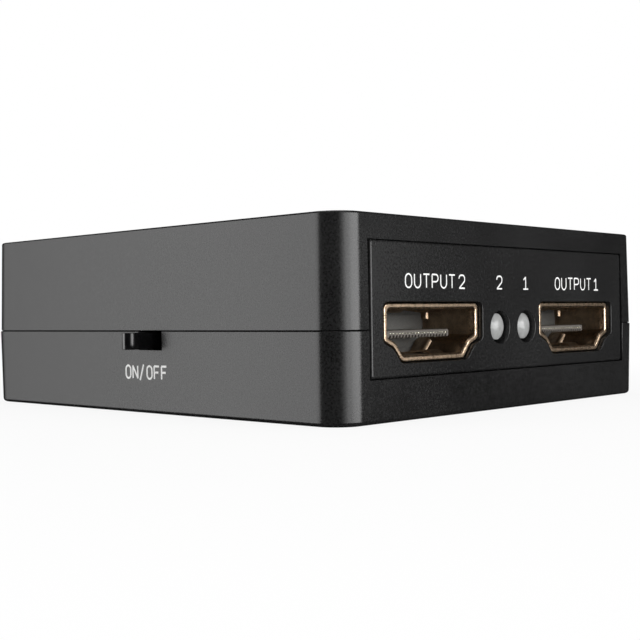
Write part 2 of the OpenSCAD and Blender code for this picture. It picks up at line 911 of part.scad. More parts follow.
module switch_slider() {
    reach = wall + switch_gap + lever_out;
    nose_r = lever_nose * lever_w;
    block_d = switch_d - 2 * (switch_sheet + slide_gap);
    color(black_plastic)
    at_switch() translate([0, lever_travel / 2, 0]) {
        translate([switch_d / 2, 0, block_low])
            block(block_d, slider_l, switch_h - switch_sheet - slide_gap - block_low);
        translate([0, 0, max(lever_low, block_low)])
            linear_extrude(lever_h - max(0, block_low - lever_low))
                translate([(switch_d / 2 - reach) / 2, 0])
                    polygon(softened(box_outline(switch_d / 2 + reach, lever_w), nose_r, round_steps));
    }
}

module switch_clip() {
    color(gold)
    at_switch()
        translate([switch_d / 2, lever_travel / 2, block_low - clip_t])
            block(pad_w, lever_travel + pad_l / 2, clip_t);
}

// Pieces soldered to the board

module chip_body(w, l, h) {
    difference() {
        translate([0, 0, lead_sheet]) block(w, l, h - lead_sheet);
        translate([mark_d - w / 2, mark_d - l / 2, h - mark_depth]) cylinder(d = mark_d, h = over);
    }
}

module splitter_chip() {
    color(chip_black) on_board(chip_place) chip_body(chip_w, chip_w, chip_h);
}

module memory_chips() {
    color(chip_black) for (place = memory_places) on_board(place) chip_body(memory_l, memory_w, memory_h);
}

module voltage_regulators() {
    color(chip_black)
    for (place = regulator_places) {
        on_board(place) chip_body(regulator_size.x, regulator_size.y, regulator_size.z);
    }
}

// Bent lead that leaves a chip's side along +Y and ends in a foot on the board
module bent_lead(w) {
    run_across(w)
        polygon([
            [0, lead_rise], [chip_lead_l - gull_foot, lead_rise], [chip_lead_l - gull_foot, lead_sheet],
            [chip_lead_l, lead_sheet], [chip_lead_l, 0], [chip_lead_l - gull_foot - lead_sheet, 0],
            [chip_lead_l - gull_foot - lead_sheet, lead_rise - lead_sheet], [0, lead_rise - lead_sheet]
        ]);
}

module lead_row(count, pitch, w, edge) {
    for (k = [0:count - 1]) translate([(k - (count - 1) / 2) * pitch, edge, 0]) bent_lead(w);
}

module chip_leads() {
    color(steel) {
        for (turn = [0:90:270]) {
            on_board(chip_place) rotate(turn) lead_row(chip_leads_side, chip_pitch, chip_lead_w, chip_w / 2);
        }
        for (place = memory_places, turn = [0, 180]) {
            on_board(place) rotate(turn) lead_row(memory_leads, memory_pitch, chip_lead_w, memory_w / 2);
        }
        for (place = regulator_places) {
            on_board(place) lead_row(1, 0, regulator_tab_w, regulator_size.y / 2);
            on_board(place)
                rotate(180)
                    lead_row(regulator_leads, regulator_pitch, regulator_lead_w, regulator_size.y / 2);
        }
    }
}

module power_inductor() {
    color("#4a4a4e")
    on_board(coil_place) {
        block(coil_w, coil_w, coil_flange);
        cylinder(d = coil_w - 2 * coil_groove, h = coil_h);
        translate([0, 0, coil_h - coil_flange]) cylinder(d = coil_w, h = coil_flange);
    }
}

module bulk_capacitors() {
    color(steel)
    for (place = bulk_places) {
        on_board(place) {
            block(bulk_d, bulk_d, lead_rise);
            cylinder(d = bulk_d, h = bulk_h);
        }
    }
}

module clock_crystal() {
    color(steel)
    on_board(crystal_place)
        linear_extrude(crystal_size.z)
            polygon(softened(box_outline(crystal_size.x, crystal_size.y), edge_r, round_steps));
}

// Columns of small pieces beside the splitter chip
module chip_columns(size, columns, rows, pitch) {
    for (x = columns, k = [0:rows - 1]) {
        on_board([x, (k - (rows - 1) / 2) * pitch]) block(size.x, size.y, size.z);
    }
}

module chip_capacitors() {
    color("#b99a6b") chip_columns(capacitor_size, capacitor_columns, capacitor_rows, capacitor_pitch);
}

module chip_resistors() {
    color("#232326") chip_columns(resistor_size, resistor_columns, resistor_rows, resistor_pitch);
}

module surge_arrays() {
    color(chip_black)
    at_sockets() {
        for (side = [-1, 1]) {
            translate([side * surge_spread, shell_l + contact_foot + board_gap + surge_size.y, 0])
                block(surge_size.x, surge_size.y, surge_size.z);
        }
    }
}

upper_case();
lower_case();
output_panel();
input_panel();
case_screws();
circuit_board();
output_1_shell();
output_1_insulator();
output_1_contacts();
output_2_shell();
output_2_insulator();
output_2_contacts();
input_shell();
input_insulator();
input_contacts();
lamp_1();
lamp_2();
lamp_leads();
inlet_housing();
inlet_pin();
inlet_spring();
switch_frame();
switch_base();
switch_contacts();
switch_slider();
switch_clip();
splitter_chip();
memory_chips();
voltage_regulators();
chip_leads();
power_inductor();
bulk_capacitors();
clock_crystal();
chip_capacitors();
chip_resistors();
surge_arrays();
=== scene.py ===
"""Looks of a small video splitter box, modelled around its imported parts."""

import json
from contextlib import contextmanager
from math import atan2, cos, pi, radians, sin, sqrt, tan

import bmesh
import bpy
from mathutils import Matrix, Vector


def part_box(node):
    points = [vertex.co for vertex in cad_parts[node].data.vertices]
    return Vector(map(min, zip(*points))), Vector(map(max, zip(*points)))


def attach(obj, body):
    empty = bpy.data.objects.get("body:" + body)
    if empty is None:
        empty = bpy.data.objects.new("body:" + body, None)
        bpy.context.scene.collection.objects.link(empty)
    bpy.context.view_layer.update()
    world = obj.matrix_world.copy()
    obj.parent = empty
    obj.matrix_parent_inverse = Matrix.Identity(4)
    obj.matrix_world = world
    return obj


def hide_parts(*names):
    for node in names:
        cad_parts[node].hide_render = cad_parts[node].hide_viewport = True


bl_info = {
    "name": "Video splitter looks",
    "version": (1, 0, 0),
    "blender": (4, 5, 0),
    "location": "3D View > Sidebar > Splitter",
    "description": "Models and finishes a small video splitter box around its packed parts",
    "category": "Object",
}

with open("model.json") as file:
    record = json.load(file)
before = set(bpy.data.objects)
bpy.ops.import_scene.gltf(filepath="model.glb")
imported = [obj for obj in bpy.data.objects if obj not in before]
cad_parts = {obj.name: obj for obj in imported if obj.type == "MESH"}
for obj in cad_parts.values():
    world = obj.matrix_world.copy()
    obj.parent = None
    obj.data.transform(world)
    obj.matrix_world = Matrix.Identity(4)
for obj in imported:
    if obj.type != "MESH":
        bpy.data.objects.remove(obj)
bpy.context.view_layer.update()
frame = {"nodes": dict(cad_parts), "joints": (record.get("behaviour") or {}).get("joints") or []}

MM = 0.001
X, Y, Z = 0, 1, 2

# How near points have to be, and which angles and normals count as smooth, folded, flat or square
NEAR = 0.002 * MM
WELD = NEAR / 4
SMOOTH_ANGLE = radians(50)
FOLD_ANGLE = radians(20)
FLAT_ANGLE = radians(1)
SQUARE = 0.999
ENDWISE = 0.9

# Steps of roundings, sides of round pieces, and how far a cutter reaches past what it cuts
CORNER_STEPS = 14
EDGE_STEPS = 5
CHAMFER_STEPS = 2
ROUND_STEPS = 6
ARC_STEPS = 6
LENS_STEPS = 8
LENS_SIDES = 64
ROD_SIDES = 48
FINGER_CUTS = 7
REACH = 3 * MM

# Contacts of a socket, where in the rolled edge its sheet starts, and the rounding of a contact's tip
CONTACTS = 19
SHEET_START = 0.7
TIP_SHARE = 0.8

# Gap between two words, and half the length of the words on the rear, in letter pitches
WORD_GAP = 0.2
INPUT_HALF = 2.4
INLET_HALF = 2.1

# Patterns of the finishes: how far a noise spreads, the dull roof, how far a socket's plating keeps its
# full pattern near the mouth, and how far the painted light on the front of a socket's tongue reaches
FINISH = "finish_"
SPREAD = 0.3, 0.7
CLOUD_GRAINS = 60
ROOF_DULL = 0.6
ROOF_EDGE = 0.04 * MM
STREAK = 0.08
FULL_PATTERN_DEPTH = 0.4 * MM
FULL_PATTERN_RUN = 0.8 * MM
LIT_TIP_DEPTH = 1.5 * MM
LIT_TIP_RUN = 2 * MM

# Floor paper, which fades to pure white, the edge of the white backdrop, and the lights
FLOOR_SIZE = 4
FLOOR_GAP = 0.02 * MM
PAPER = 0.9
PAPER_GLOW = 0.88
PAPER_FADE = 0.04, 0.12
BACKDROP_EDGE = 0.8, 0.97
LIGHT_DISTANCE = 0.68
LIGHT_RISE = 0.09
SIDE_HEIGHT = 0.6
FRONT_HEIGHT = 0.4
OVERHEAD_SIZE = 0.6
OVERHEAD_SHIFT = 0.05
OVERHEAD_RADIANCE = 1.6

CASE_LOW, CASE_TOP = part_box("lower_case")[0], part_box("upper_case")[1].z
BOARD_LOW, BOARD_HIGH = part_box("circuit_board")
SOCKET_LOW, SOCKET_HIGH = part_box("output_1_shell")
SOCKET_X = (SOCKET_LOW.x + SOCKET_HIGH.x) / 2
MOUTH_Y = SOCKET_LOW.y


def length(description, millimetres):
    """A length that a user may change, given in millimetres."""
    return bpy.props.FloatProperty(
        description=description, default=millimetres * MM, unit="LENGTH", precision=5
    )


def colour(description, *rgb):
    """A linear colour that a user may change."""
    return bpy.props.FloatVectorProperty(
        description=description, default=rgb, size=3, min=0, max=1, subtype="COLOR"
    )


def named(group):
    """Names each property of a group after its key."""
    for key, value in group.__annotations__.items():
        value.keywords["name"] = key.replace("_", " ").capitalize()
    return group


@named
class SplitterCase(bpy.types.PropertyGroup):
    """Sizes of the two shells and the panels."""

    seam_height: length("Height of the seam between the shells", 8.92)
    seam_gap: length("Open gap along the seam", 0.1)
    seam_depth: length("How deep the open seam is", 0.07)
    seam_slack: length("Gap over the closed floor of the seam", 0.007)
    seam_step: length("How far the upper shell stands back at the seam", 0.08)
    upper_lean: length("How far the upper walls lean in", 0.15)
    lower_lean: length("How far the lower walls lean in", 0.15)
    wall: length("Thickness of walls, floor and roof", 2)
    corner_radius: length("Radius of the upright corners", 3.1)
    roof_radius: length("Rounding of the top edges", 0.25)
    floor_radius: length("Rounding of the bottom edges", 0.45)
    chamfer: length("Bevel on the screw seats", 0.12)
    upper_edge: length("Bevel on the upper shell at the seam", 0.03)
    lower_edge: length("Bevel on the lower shell at the seam", 0.08)
    opening_round: length("Rounding of the edges of the panel openings", 0.12)
    panel_corner: length("Radius of a panel's four corners", 0.3)
    panel_round: length("Rounding of a panel's outer edges", 0.22)
    hole_round: length("Rounding of the cut-outs in the panels", 0.18)
    flange_over: length("How far a panel's flange reaches behind the case lip", 1)
    flange_thickness: length("Thickness of a panel's flange", 1)
    pocket_gap: length("Gap between a panel's flange and its pocket", 0.05)
    panel_gap: length("Gap above and below a panel in its opening", 0.1)
    panel_side_gap: length("Gap beside a panel in its opening", 0.28)
    cutout_gap: length("Gap between a socket and its cut-out", 0.2)
    cutout_play: length("Further gap on one side of a socket", 0.55)
    round_gap: length("Gap round a lamp or the power inlet", 0.25)
    rib: length("Thickness of the ribs behind a panel", 1.2)
    rib_grip: length("How far those ribs reach over a panel's flange", 0.9)
    lip: length("Thickness of the alignment lip", 0.8)
    lip_height: length("Height of the alignment lip", 1)
    lip_draft: length("How far the lip leans in towards its top", 0.4)
    lip_gap: length("Gap round the alignment lip", 0.1)
    boss: length("Radius of the screw bosses", 2.3)
    post: length("Radius of the posts under the board", 2.9)
    thread: length("Radius of the thread holes in the bosses", 1.13)
    seat: length("Radius of the screw head's seat", 2.3)
    shank: length("Radius of the shank holes in the lower shell", 1.3)
    screw_head: length("Radius of a screw head", 2.1)
    lever_width: length("Width of the switch lever along the case", 1.36)
    lever_height: length("Height of the switch lever", 1.8)
    lever_rise: length("Height of the lever above the board", 2.06)
    lever_gap: length("Gap above and below the lever", 0.12)
    lever_end_gap: length("Gap at the ends of the lever's travel", 0.33)


@named
class SplitterParts(bpy.types.PropertyGroup):
    """Sizes of the sockets, lamps, switch and legends."""

    sheet: length("Sheet thickness of a socket shell", 0.45)
    low_width: length("Width of a socket's narrow lower side", 9.96)
    knee_width: length("Width of a socket at its inner knee", 12.4)
    knee_low: length("Height of a socket's inner knee", 1.41)
    knee_high: length("Height of a socket's outer knee", 2.02)
    top_round: length("Rounding of a socket's two upper corners", 0.55)
    knee_round: length("Rounding of a socket's lower corners", 0.3)
    mouth_depth: length("Depth of a socket to its back wall", 6.7)
    tongue_width: length("Width of a socket's tongue", 10)
    tongue_thickness: length("Thickness of a socket's tongue", 0.8)
    tongue_rise: length("Height of the tongue above the board", 2.58)
    tongue_back: length("How far the tongue lies behind the mouth", 1.9)
    contact_pitch: length("Distance between contacts", 0.5)
    contact_width: length("Width of a contact", 0.3)
    contact_thickness: length("Thickness of a contact's tip", 0.13)
    contact_rise: length("Height of the contact tips above the tongue's middle", 0.06)
    contact_proud: length("How far the contact tips stand out of the tongue", 0.08)
    notch: length("Depth of the notches under the tongue", 0.3)
    notch_length: length("Length of those notches from the tongue's tip", 2.6)
    tip_bevel: length("Bevel on tongues and on the inlet's nose", 0.2)
    ledge: length("Width of the ledge round a socket's back wall", 0.6)
    ledge_depth: length("Depth of that ledge", 0.3)
    snug: length("Gap of pieces that are pressed together", 0.02)
    slit: length("Width of the joint in the rolled sheet", 0.07)
    rim_round: length("Rounding of the rolled edge on the outside", 0.16)
    rim_flare: length("Rounding of the rolled edge on the inside", 0.3)
    rim_outer: length("How far the rolled edge stands out of the sheet", 0.09)
    rim_inner: length("Depth of the rolled edge from the sheet's outer face", 0.52)
    rim_length: length("Length of the rolled edge", 0.7)
    leg: length("Width of a socket's leg", 1.2)
    leg_front: length("Distance of the front legs behind the mouth", 4.8)
    leg_rear: length("Distance of the rear legs behind the mouth", 8.8)
    finger: length("Width of a spring finger", 2.2)
    finger_pitch: length("Distance between a pair of spring fingers", 6.4)
    finger_length: length("Length of a spring finger", 4.6)
    finger_dip: length("How far a spring finger bulges in", 0.4)
    side_finger: length("Width of a spring finger in a side wall", 0.65)
    slope_finger: length("Width of a spring finger in a slanted wall", 1.8)
    slope_start: length("Distance of those fingers behind the mouth", 4.75)
    side_start: length("Distance of the side fingers behind the mouth", 6.2)
    side_length: length("Length of a side finger", 1.8)
    side_rise: length("Height of the side fingers above the board", 4.35)
    nose_diameter: length("Diameter of the power inlet's nose", 5.2)
    nose_length: length("Length of the power inlet's nose", 3.2)
    bore_diameter: length("Diameter of the power inlet's bore", 3.7)
    bore_depth: length("Depth of the power inlet's bore", 8)
    pin_diameter: length("Diameter of the power inlet's pin", 1.3)
    root_diameter: length("Diameter of that pin's root", 1.8)
    inlet_rise: length("Height of the power inlet's axis above the board", 3)
    lamp_rise: length("Height of the lamps above the board", 3)
    head_height: length("Height of a screw head", 1.5)
    cross_length: length("Length of the cross recess in a screw", 2.4)
    cross_width: length("Width of the cross recess in a screw", 0.55)
    cross_depth: length("Depth of the cross recess in a screw", 0.9)
    thread_diameter: length("Diameter of the screw thread", 2.2)
    dome: length("Height of the dome on a lamp", 0.5)
    lamp_diameter: length("Diameter of a lamp lens", 2.8)
    lamp_hole: length("Diameter that a lamp's hole is made round", 3)
    lamp_forward: length("How far a lens stands in front of its seat", 0.36)
    lamp_lift: length("How far a lens stands above the middle of its hole", 0.1)
    collar: length("Thickness of the collar at a lamp's base", 1)
    lever_forward: length("How far the lever stands towards the outputs in its window", 0.25)
    lever_nose: length("Rounding of the switch lever's tip at its front", 0.9)
    lever_heel: length("Rounding of the switch lever's tip at its back", 0.44)
    lever_bevel: length("Bevel on the switch lever's edges", 0.05)
    letter_height: length("Height of the printed letters", 1.49)
    letter_width: length("Width between the strokes of a letter", 0.97)
    stroke: length("Width of the printed strokes", 0.155)
    switch_letter_height: length("Height of the letters at the switch", 1.6)
    switch_letter_width: length("Width between the strokes of those letters", 0.84)
    switch_stroke: length("Width of the strokes of those letters", 0.23)
    ink: length("Thickness of the print", 0.02)
    letter_pitch: length("Distance between letters", 1.405)
    legend_rise: length("Height of the legends above the board", 7.14)
    word_half: length("Distance of a word's start from its socket's middle", 5)
    switch_letter_pitch: length("Distance between letters at the switch", 1.24)
    switch_legend_rise: length("Height of the switch legend", 3.76)
    switch_legend_start: length("Where the switch legend starts", 2.07)


@named
class SplitterColours(bpy.types.PropertyGroup):
    """Colours of the finishes."""

    case: colour("Moulded case plastic", 0.0142, 0.0142, 0.0143)
    panel: colour("Moulded panel plastic", 0.0158, 0.0158, 0.0159)
    lever: colour("Glossy plastic of the switch lever", 0.006, 0.006, 0.0065)
    gold: colour("Plated socket sheet", 0.65, 0.49, 0.345)
    contact: colour("Plated contacts", 0.85, 0.8, 0.64)
    insulator: colour("Moulded socket insulator", 0.125, 0.123, 0.116)
    # Painted light: a lighter colour for the tongue's front, where light falls on it
    tongue: colour("Light tip of the socket tongue", 0.152, 0.137, 0.121)
    lens: colour("Milky lamp lens", 0.36, 0.365, 0.36)
    ink: colour("Printed legends", 0.92, 0.92, 0.91)
    steel: colour("Plain steel", 0.56, 0.57, 0.59)
    laminate: colour("Solder mask of the board", 0.003, 0.014, 0.008)
    chip: colour("Moulded chip bodies", 0.016, 0.016, 0.018)
    ferrite: colour("Ferrite of the inductor", 0.05, 0.05, 0.055)
    ceramic: colour("Ceramic capacitors", 0.48, 0.32, 0.16)
    aluminium: colour("Cans of the bulk capacitors", 0.66, 0.67, 0.69)


@named
class SplitterStage(bpy.types.PropertyGroup):
    """Camera and light."""

    camera_place: bpy.props.FloatVectorProperty(
        description="Where the camera stands", size=3,
        default=(-102.19 * MM, -97.42 * MM, 10.44 * MM), subtype="XYZ_LENGTH"
    )
    camera_turn: bpy.props.FloatVectorProperty(
        description="Heading, tilt and roll of the camera", size=3,
        default=(radians(46.637), radians(-0.285), radians(0.774)), subtype="EULER"
    )
    lens: bpy.props.FloatProperty(description="Focal length of the camera in millimetres", default=62.34)
    fill: bpy.props.FloatProperty(description="Strength of the light from all round", default=0.3, min=0)


class Wire:
    """A socket in a node tree. Arithmetic on wires adds Math nodes."""

    def __init__(self, tree, socket=None):
        self.tree = tree
        self.socket = socket

    def node(self, kind, settings=None, links=None, output=0):
        """Adds a node, sets it up, then gives its sockets values or links."""
        made = self.tree.nodes.new(kind)
        for name, value in (settings or {}).items():
            setattr(made, name, value)
        for key, value in (links or {}).items():
            if isinstance(value, Wire):
                self.tree.links.new(value.socket, made.inputs[key])
            else:
                made.inputs[key].default_value = value
        return Wire(self.tree, made.outputs[output] if len(made.outputs) else None)

    def maths(self, operation, first, second):
        return self.node("ShaderNodeMath", {"operation": operation}, {0: first, 1: second})

    def __add__(self, other):
        return self.maths("ADD", self, other)

    def __radd__(self, other):
        return self.maths("ADD", other, self)

    def __sub__(self, other):
        return self.maths("SUBTRACT", self, other)

    def __rsub__(self, other):
        return self.maths("SUBTRACT", other, self)

    def __mul__(self, other):
        return self.maths("MULTIPLY", self, other)

    def __rmul__(self, other):
        return self.maths("MULTIPLY", other, self)

    def __or__(self, other):
        return self.maths("MAXIMUM", self, other)

    def step(self, start, end):
        """Goes from 0 at the start to 1 at the end, smoothly."""
        return self.node(
            "ShaderNodeMapRange", {"interpolation_type": "SMOOTHSTEP"},
            {"Value": self, "From Min": start, "From Max": end}
        )

    def mix(self, first, second):
        """Goes from one colour to another as this wire goes from 0 to 1."""
        links = {0: self, 6: first, 7: second}
        return self.node("ShaderNodeMix", {"data_type": "RGBA"}, links, 2)


def empty_tree(owner):
    """The cleared node tree of a material or a world."""
    owner.use_nodes = True
    owner.node_tree.nodes.clear()
    return Wire(owner.node_tree)


def rgba(values, light=1):
    """A colour with full alpha, made lighter or darker."""
    return (*(min(1, value * light) for value in values), 1)


class Finish:
    """A material in the making, with patterns on the piece's own coordinates."""

    def __init__(self, name):
        self.tree = empty_tree(bpy.data.materials.new(FINISH + name))
        self.place = self.tree.node("ShaderNodeTexCoord", output="Object")

    def axis(self, index):
        """One coordinate of the place on the piece, in metres."""
        return self.tree.node("ShaderNodeSeparateXYZ", None, {0: self.place}, index)

    def outward(self):
        """Distance from the middle of the case towards its front or rear."""
        return self.tree.node("ShaderNodeMath", {"operation": "ABSOLUTE"}, {0: self.axis(Y)})

    def stretched(self, axis):
        """The place with one axis squeezed, for streaks that run that way."""
        scale = [1, 1, 1]
        scale[axis] = STREAK
        return self.tree.node("ShaderNodeMapping", None, {"Vector": self.place, "Scale": scale})

    def noise(self, grain, detail=2, place=None):
        """Soft random pattern of a grain size in metres, about 0.5 in the middle."""
        links = {"Vector": place or self.place, "Scale": 1 / grain, "Detail": detail}
        return self.tree.node("ShaderNodeTexNoise", None, links)

    def cells(self, grain):
        """Distance to the nearest of many scattered points."""
        return self.tree.node("ShaderNodeTexVoronoi", None, {"Vector": self.place, "Scale": 1 / grain})

    def shades(self, pattern, base, dark, light):
        """A colour that is darker and lighter by a pattern."""
        return pattern.step(*SPREAD).mix(rgba(base, dark), rgba(base, light))

    def bump(self, height, depth, strength):
        links = {"Height": height, "Distance": depth, "Strength": strength}
        return self.tree.node("ShaderNodeBump", None, links)

    def done(self, **sockets):
        """Feeds the shader, whose socket names are given with underscores, and closes the material."""
        links = {name.replace("_", " "): value for name, value in sockets.items()}
        shader = self.tree.node("ShaderNodeBsdfPrincipled", None, links)
        self.tree.node("ShaderNodeOutputMaterial", None, {"Surface": shader})


def moulded(name, base, roughness, specular, grain, depth):
    """Moulded plastic with a fine spark-eroded grain, which is dull on the case's flat roof."""
    finish = Finish(name)
    pebble = finish.noise(grain, detail=3)
    cloud = finish.noise(CLOUD_GRAINS * grain)
    roof = finish.axis(Z).step(CASE_TOP - ROOF_EDGE, CASE_TOP - ROOF_EDGE / 4)
    finish.done(
        Base_Color=finish.shades(0.7 * pebble + 0.3 * cloud, base, dark=0.5, light=1.5),
        Roughness=roughness - 0.05 + 0.1 * cloud + ROOF_DULL * roof,
        Specular_IOR_Level=specular,
        Normal=finish.bump(pebble, depth, strength=0.6),
    )


def plated(name, base, roughness, streak_axis, full_pattern_from=0):
    """Plated sheet with rolling streaks and dull patches, which is more even further inside the case."""
    finish = Finish(name)
    streaks = finish.noise(0.12 * MM, 3, finish.stretched(streak_axis))
    patches = finish.noise(0.7 * MM, detail=3)
    worn = (0.5 * streaks + 0.5 * patches).step(0.36, 0.62)
    # Near the mouth the pattern keeps its full contrast; further in it is muted and a little darker
    if full_pattern_from:
        near_mouth = finish.outward().step(full_pattern_from - FULL_PATTERN_RUN, full_pattern_from)
        worn = near_mouth * worn + (1 - near_mouth) * (0.3 + 0.3 * worn)
    finish.done(
        Base_Color=worn.mix(rgba(base, 0.34), rgba(base, 1.3)),
        Metallic=1.0,
        Roughness=roughness + 0.14 * (1 - worn),
        Normal=finish.bump(streaks, 0.01 * MM, strength=0.5),
    )


def brushed(name, base, roughness):
    """Bare metal with a fine grain."""
    finish = Finish(name)
    grain = finish.noise(0.08 * MM, detail=3)
    cloud = finish.noise(1.2 * MM)
    finish.done(
        Base_Color=finish.shades(0.5 * grain + 0.5 * cloud, base, dark=0.75, light=1.1),
        Metallic=1.0,
        Roughness=roughness + 0.12 * cloud,
        Normal=finish.bump(grain, 0.006 * MM, strength=0.4),
    )


def lit_tip_insulator(name, base, tip):
    """Insulator whose tongue grows lighter towards its tip, at either end of the case: painted light on the
    lit front of the tongue, while deeper in the socket the insulator keeps its own darker colour.
    """
    finish = Finish(name)
    grain = finish.noise(0.12 * MM, detail=3)
    # Painted light: the tip colour takes over towards the tongue's front, where light falls on it
    lit_from = -MOUTH_Y - LIT_TIP_DEPTH
    tongue = finish.outward().step(lit_from - LIT_TIP_RUN, lit_from)
    dark = finish.shades(grain, base, dark=0.8, light=1.2)
    finish.done(
        Base_Color=tongue.mix(dark, finish.shades(grain, tip, dark=0.75, light=1.2)),
        Roughness=0.5 + 0.1 * grain,
        Specular_IOR_Level=0.3,
        Normal=finish.bump(grain, 0.008 * MM, strength=0.4),
    )


def lamp_lens(name, base):
    """Milky resin with a faint cloud in it."""
    finish = Finish(name)
    grain = finish.noise(0.1 * MM)
    finish.done(
        Base_Color=finish.shades(finish.noise(0.8 * MM, detail=3), base, dark=0.86, light=1.1),
        Roughness=0.3 + 0.08 * grain,
        Specular_IOR_Level=0.5,
        Coat_Weight=0.2,
        Normal=finish.bump(grain, 0.003 * MM, strength=0.3),
    )


def legend_ink(name, base):
    """Screen-printed ink with a fine mesh of thin spots."""
    finish = Finish(name)
    mesh = finish.noise(0.07 * MM)
    finish.done(
        Base_Color=mesh.step(0.25, 0.6).mix(rgba(base, 0.8), rgba(base)),
        Roughness=0.55 + 0.1 * mesh,
        Specular_IOR_Level=0.3,
        Normal=finish.bump(mesh, 0.004 * MM, strength=0.3),
    )


def board_laminate(name, base):
    """Solder mask over copper traces and the weave of the glass cloth."""
    finish = Finish(name)
    weave = finish.noise(0.25 * MM)
    trace = finish.cells(1.1 * MM).step(0.32, 0.36)
    finish.done(
        Base_Color=trace.mix(rgba(base, 1.5), rgba(base, 0.8)),
        Roughness=0.32 + 0.1 * weave,
        Specular_IOR_Level=0.5,
        Normal=finish.bump(weave + 0.6 * trace, 0.02 * MM, strength=0.5),
    )


def make_finishes(colours):
    """Makes every finish of the splitter once."""
    # Name, colour, roughness, specular level, then size and depth of the grain in millimetres
    plastics = (
        ("case_plastic", colours.case, 0.24, 0.35, 0.2, 0.006),
        ("panel_plastic", colours.panel, 0.25, 0.35, 0.26, 0.012),
        ("lever_plastic", colours.lever, 0.18, 0.6, 0.3, 0.002),
        ("inlet_plastic", colours.chip, 0.4, 0.3, 0.2, 0.008),
        ("chip_plastic", colours.chip, 0.6, 0.4, 0.1, 0.01),
        ("resistor_film", colours.chip, 0.35, 0.5, 0.08, 0.004),
        ("ferrite", colours.ferrite, 0.55, 0.5, 0.15, 0.02),
        ("ceramic", colours.ceramic, 0.5, 0.5, 0.12, 0.006),
    )
    for name, base, roughness, specular, grain, depth in plastics:
        moulded(name, base, roughness, specular, grain * MM, depth * MM)
    plated("socket_gold", colours.gold, 0.27, X, -MOUTH_Y - FULL_PATTERN_DEPTH)
    plated("contact_gold", colours.contact, 0.2, Y)
    brushed("plain_steel", colours.steel, 0.3)
    brushed("screw_steel", colours.steel, 0.26)
    brushed("can_aluminium", colours.aluminium, 0.34)
    lit_tip_insulator("insulator_plastic", colours.insulator, colours.tongue)
    lamp_lens("lamp_lens", colours.lens)
    legend_ink("legend_ink", colours.ink)
    board_laminate("board_laminate", colours.laminate)


def finish_named(name):
    """A finish by its slot's name. All are made the first time that one is asked for."""
    if FINISH + name not in bpy.data.materials:
        make_finishes(bpy.context.scene.splitter_colours)
    return bpy.data.materials[FINISH + name]


def alone(piece):
    """Makes one piece the only selected and active object."""
    bpy.ops.object.select_all(action="DESELECT")
    piece.select_set(True)
    bpy.context.view_layer.objects.active = piece


@contextmanager
def selected(piece, kind, test):
    """Edit mode on one piece, with the vertices, edges or faces selected that pass a test."""
    alone(piece)
    bpy.ops.object.mode_set(mode="EDIT")
    bpy.ops.mesh.select_mode(type=kind)
    bpy.ops.mesh.select_all(action="DESELECT")
    mesh = bmesh.from_edit_mesh(piece.data)
    mesh.normal_update()
    items = {"VERT": mesh.verts, "EDGE": mesh.edges, "FACE": mesh.faces}[kind]
    found = [item for item in items if test(item)]
    if not found:
        raise RuntimeError(f"{piece.name} has nothing to shape there")
    for item in found:
        item.select_set(True)
    bmesh.update_edit_mesh(piece.data)
    yield
    bpy.ops.object.mode_set(mode="OBJECT")


def along(axis):
    """Passes edges that run along one axis."""
    others = [index for index in (X, Y, Z) if index != axis]
    return lambda edge: all(abs(edge.verts[0].co[i] - edge.verts[1].co[i]) < NEAR for i in others)


def level(axis, value):
    """Passes what lies wholly at one value of an axis."""
    return lambda item: all(abs(vertex.co[axis] - value) < NEAR for vertex in item.verts)


def spanning(axis, start, end):
    """Passes edges along one axis whose middle lies halfway between two values."""
    return both(
        along(axis), lambda edge: abs(edge.verts[0].co[axis] + edge.verts[1].co[axis] - start - end) < NEAR
    )


def both(first, second):
    """Passes what passes two tests."""
    return lambda item: first(item) and second(item)


def folded(edge):
    """Passes edges between faces that meet at an angle, and not those that only split a flat face."""
    return edge.calc_face_angle(0) > FOLD_ANGLE


def rim(axis, value):
    """Passes the folded edges at one value of an axis."""
    return both(level(axis, value), folded)


def facing(axis, way):
    """Passes faces that look one way along an axis."""
    return lambda face: face.normal[axis] * way > SQUARE


def end_faces(face):
    """Passes faces that look along the case, either way."""
    return abs(face.normal.y) > ENDWISE


def everything(item):
    return True


def bevelled(piece, test, offset, steps):
    """Bevels the edges of a piece that pass a test."""
    with selected(piece, "EDGE", test):
        bpy.ops.mesh.bevel(offset=offset, segments=steps, affect="EDGES", clamp_overlap=True)


def extrude(x, y, z):
    bpy.ops.mesh.extrude_region_move(TRANSFORM_OT_translate={"value": (x, y, z)})


def settled(name):
    """Puts the new primitive's place and size into its mesh, and names it."""
    bpy.ops.object.transform_apply(location=True, rotation=True, scale=True)
    piece = bpy.context.object
    piece.name = name
    piece.data.name = name
    return piece


def box(name, low, high):
    """A block between two corners."""
    low, high = Vector(low), Vector(high)
    bpy.ops.object.select_all(action="DESELECT")
    bpy.ops.mesh.primitive_cube_add(size=1, location=(low + high) / 2, scale=high - low)
    return settled(name)


def rod(name, start, end, radius, sides=ROD_SIDES):
    """A round bar between two points."""
    start, end = Vector(start), Vector(end)
    turn = Vector((0, 0, 1)).rotation_difference(end - start).to_euler()
    bpy.ops.object.select_all(action="DESELECT")
    bpy.ops.mesh.primitive_cylinder_add(
        vertices=sides, radius=radius, depth=(end - start).length, location=(start + end) / 2, rotation=turn
    )
    return settled(name)


def upright(name, place, low, high, radius):
    """A round bar between two heights."""
    return rod(name, place + Vector((0, 0, low)), place + Vector((0, 0, high)), radius)


def lengthwise(name, x, z, start, end, radius, sides=ROD_SIDES):
    """A round bar along the case."""
    return rod(name, (x, start, z), (x, end, z), radius, sides)


def middle(node, axis):
    """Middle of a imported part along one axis."""
    low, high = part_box(node)
    return (low[axis] + high[axis]) / 2


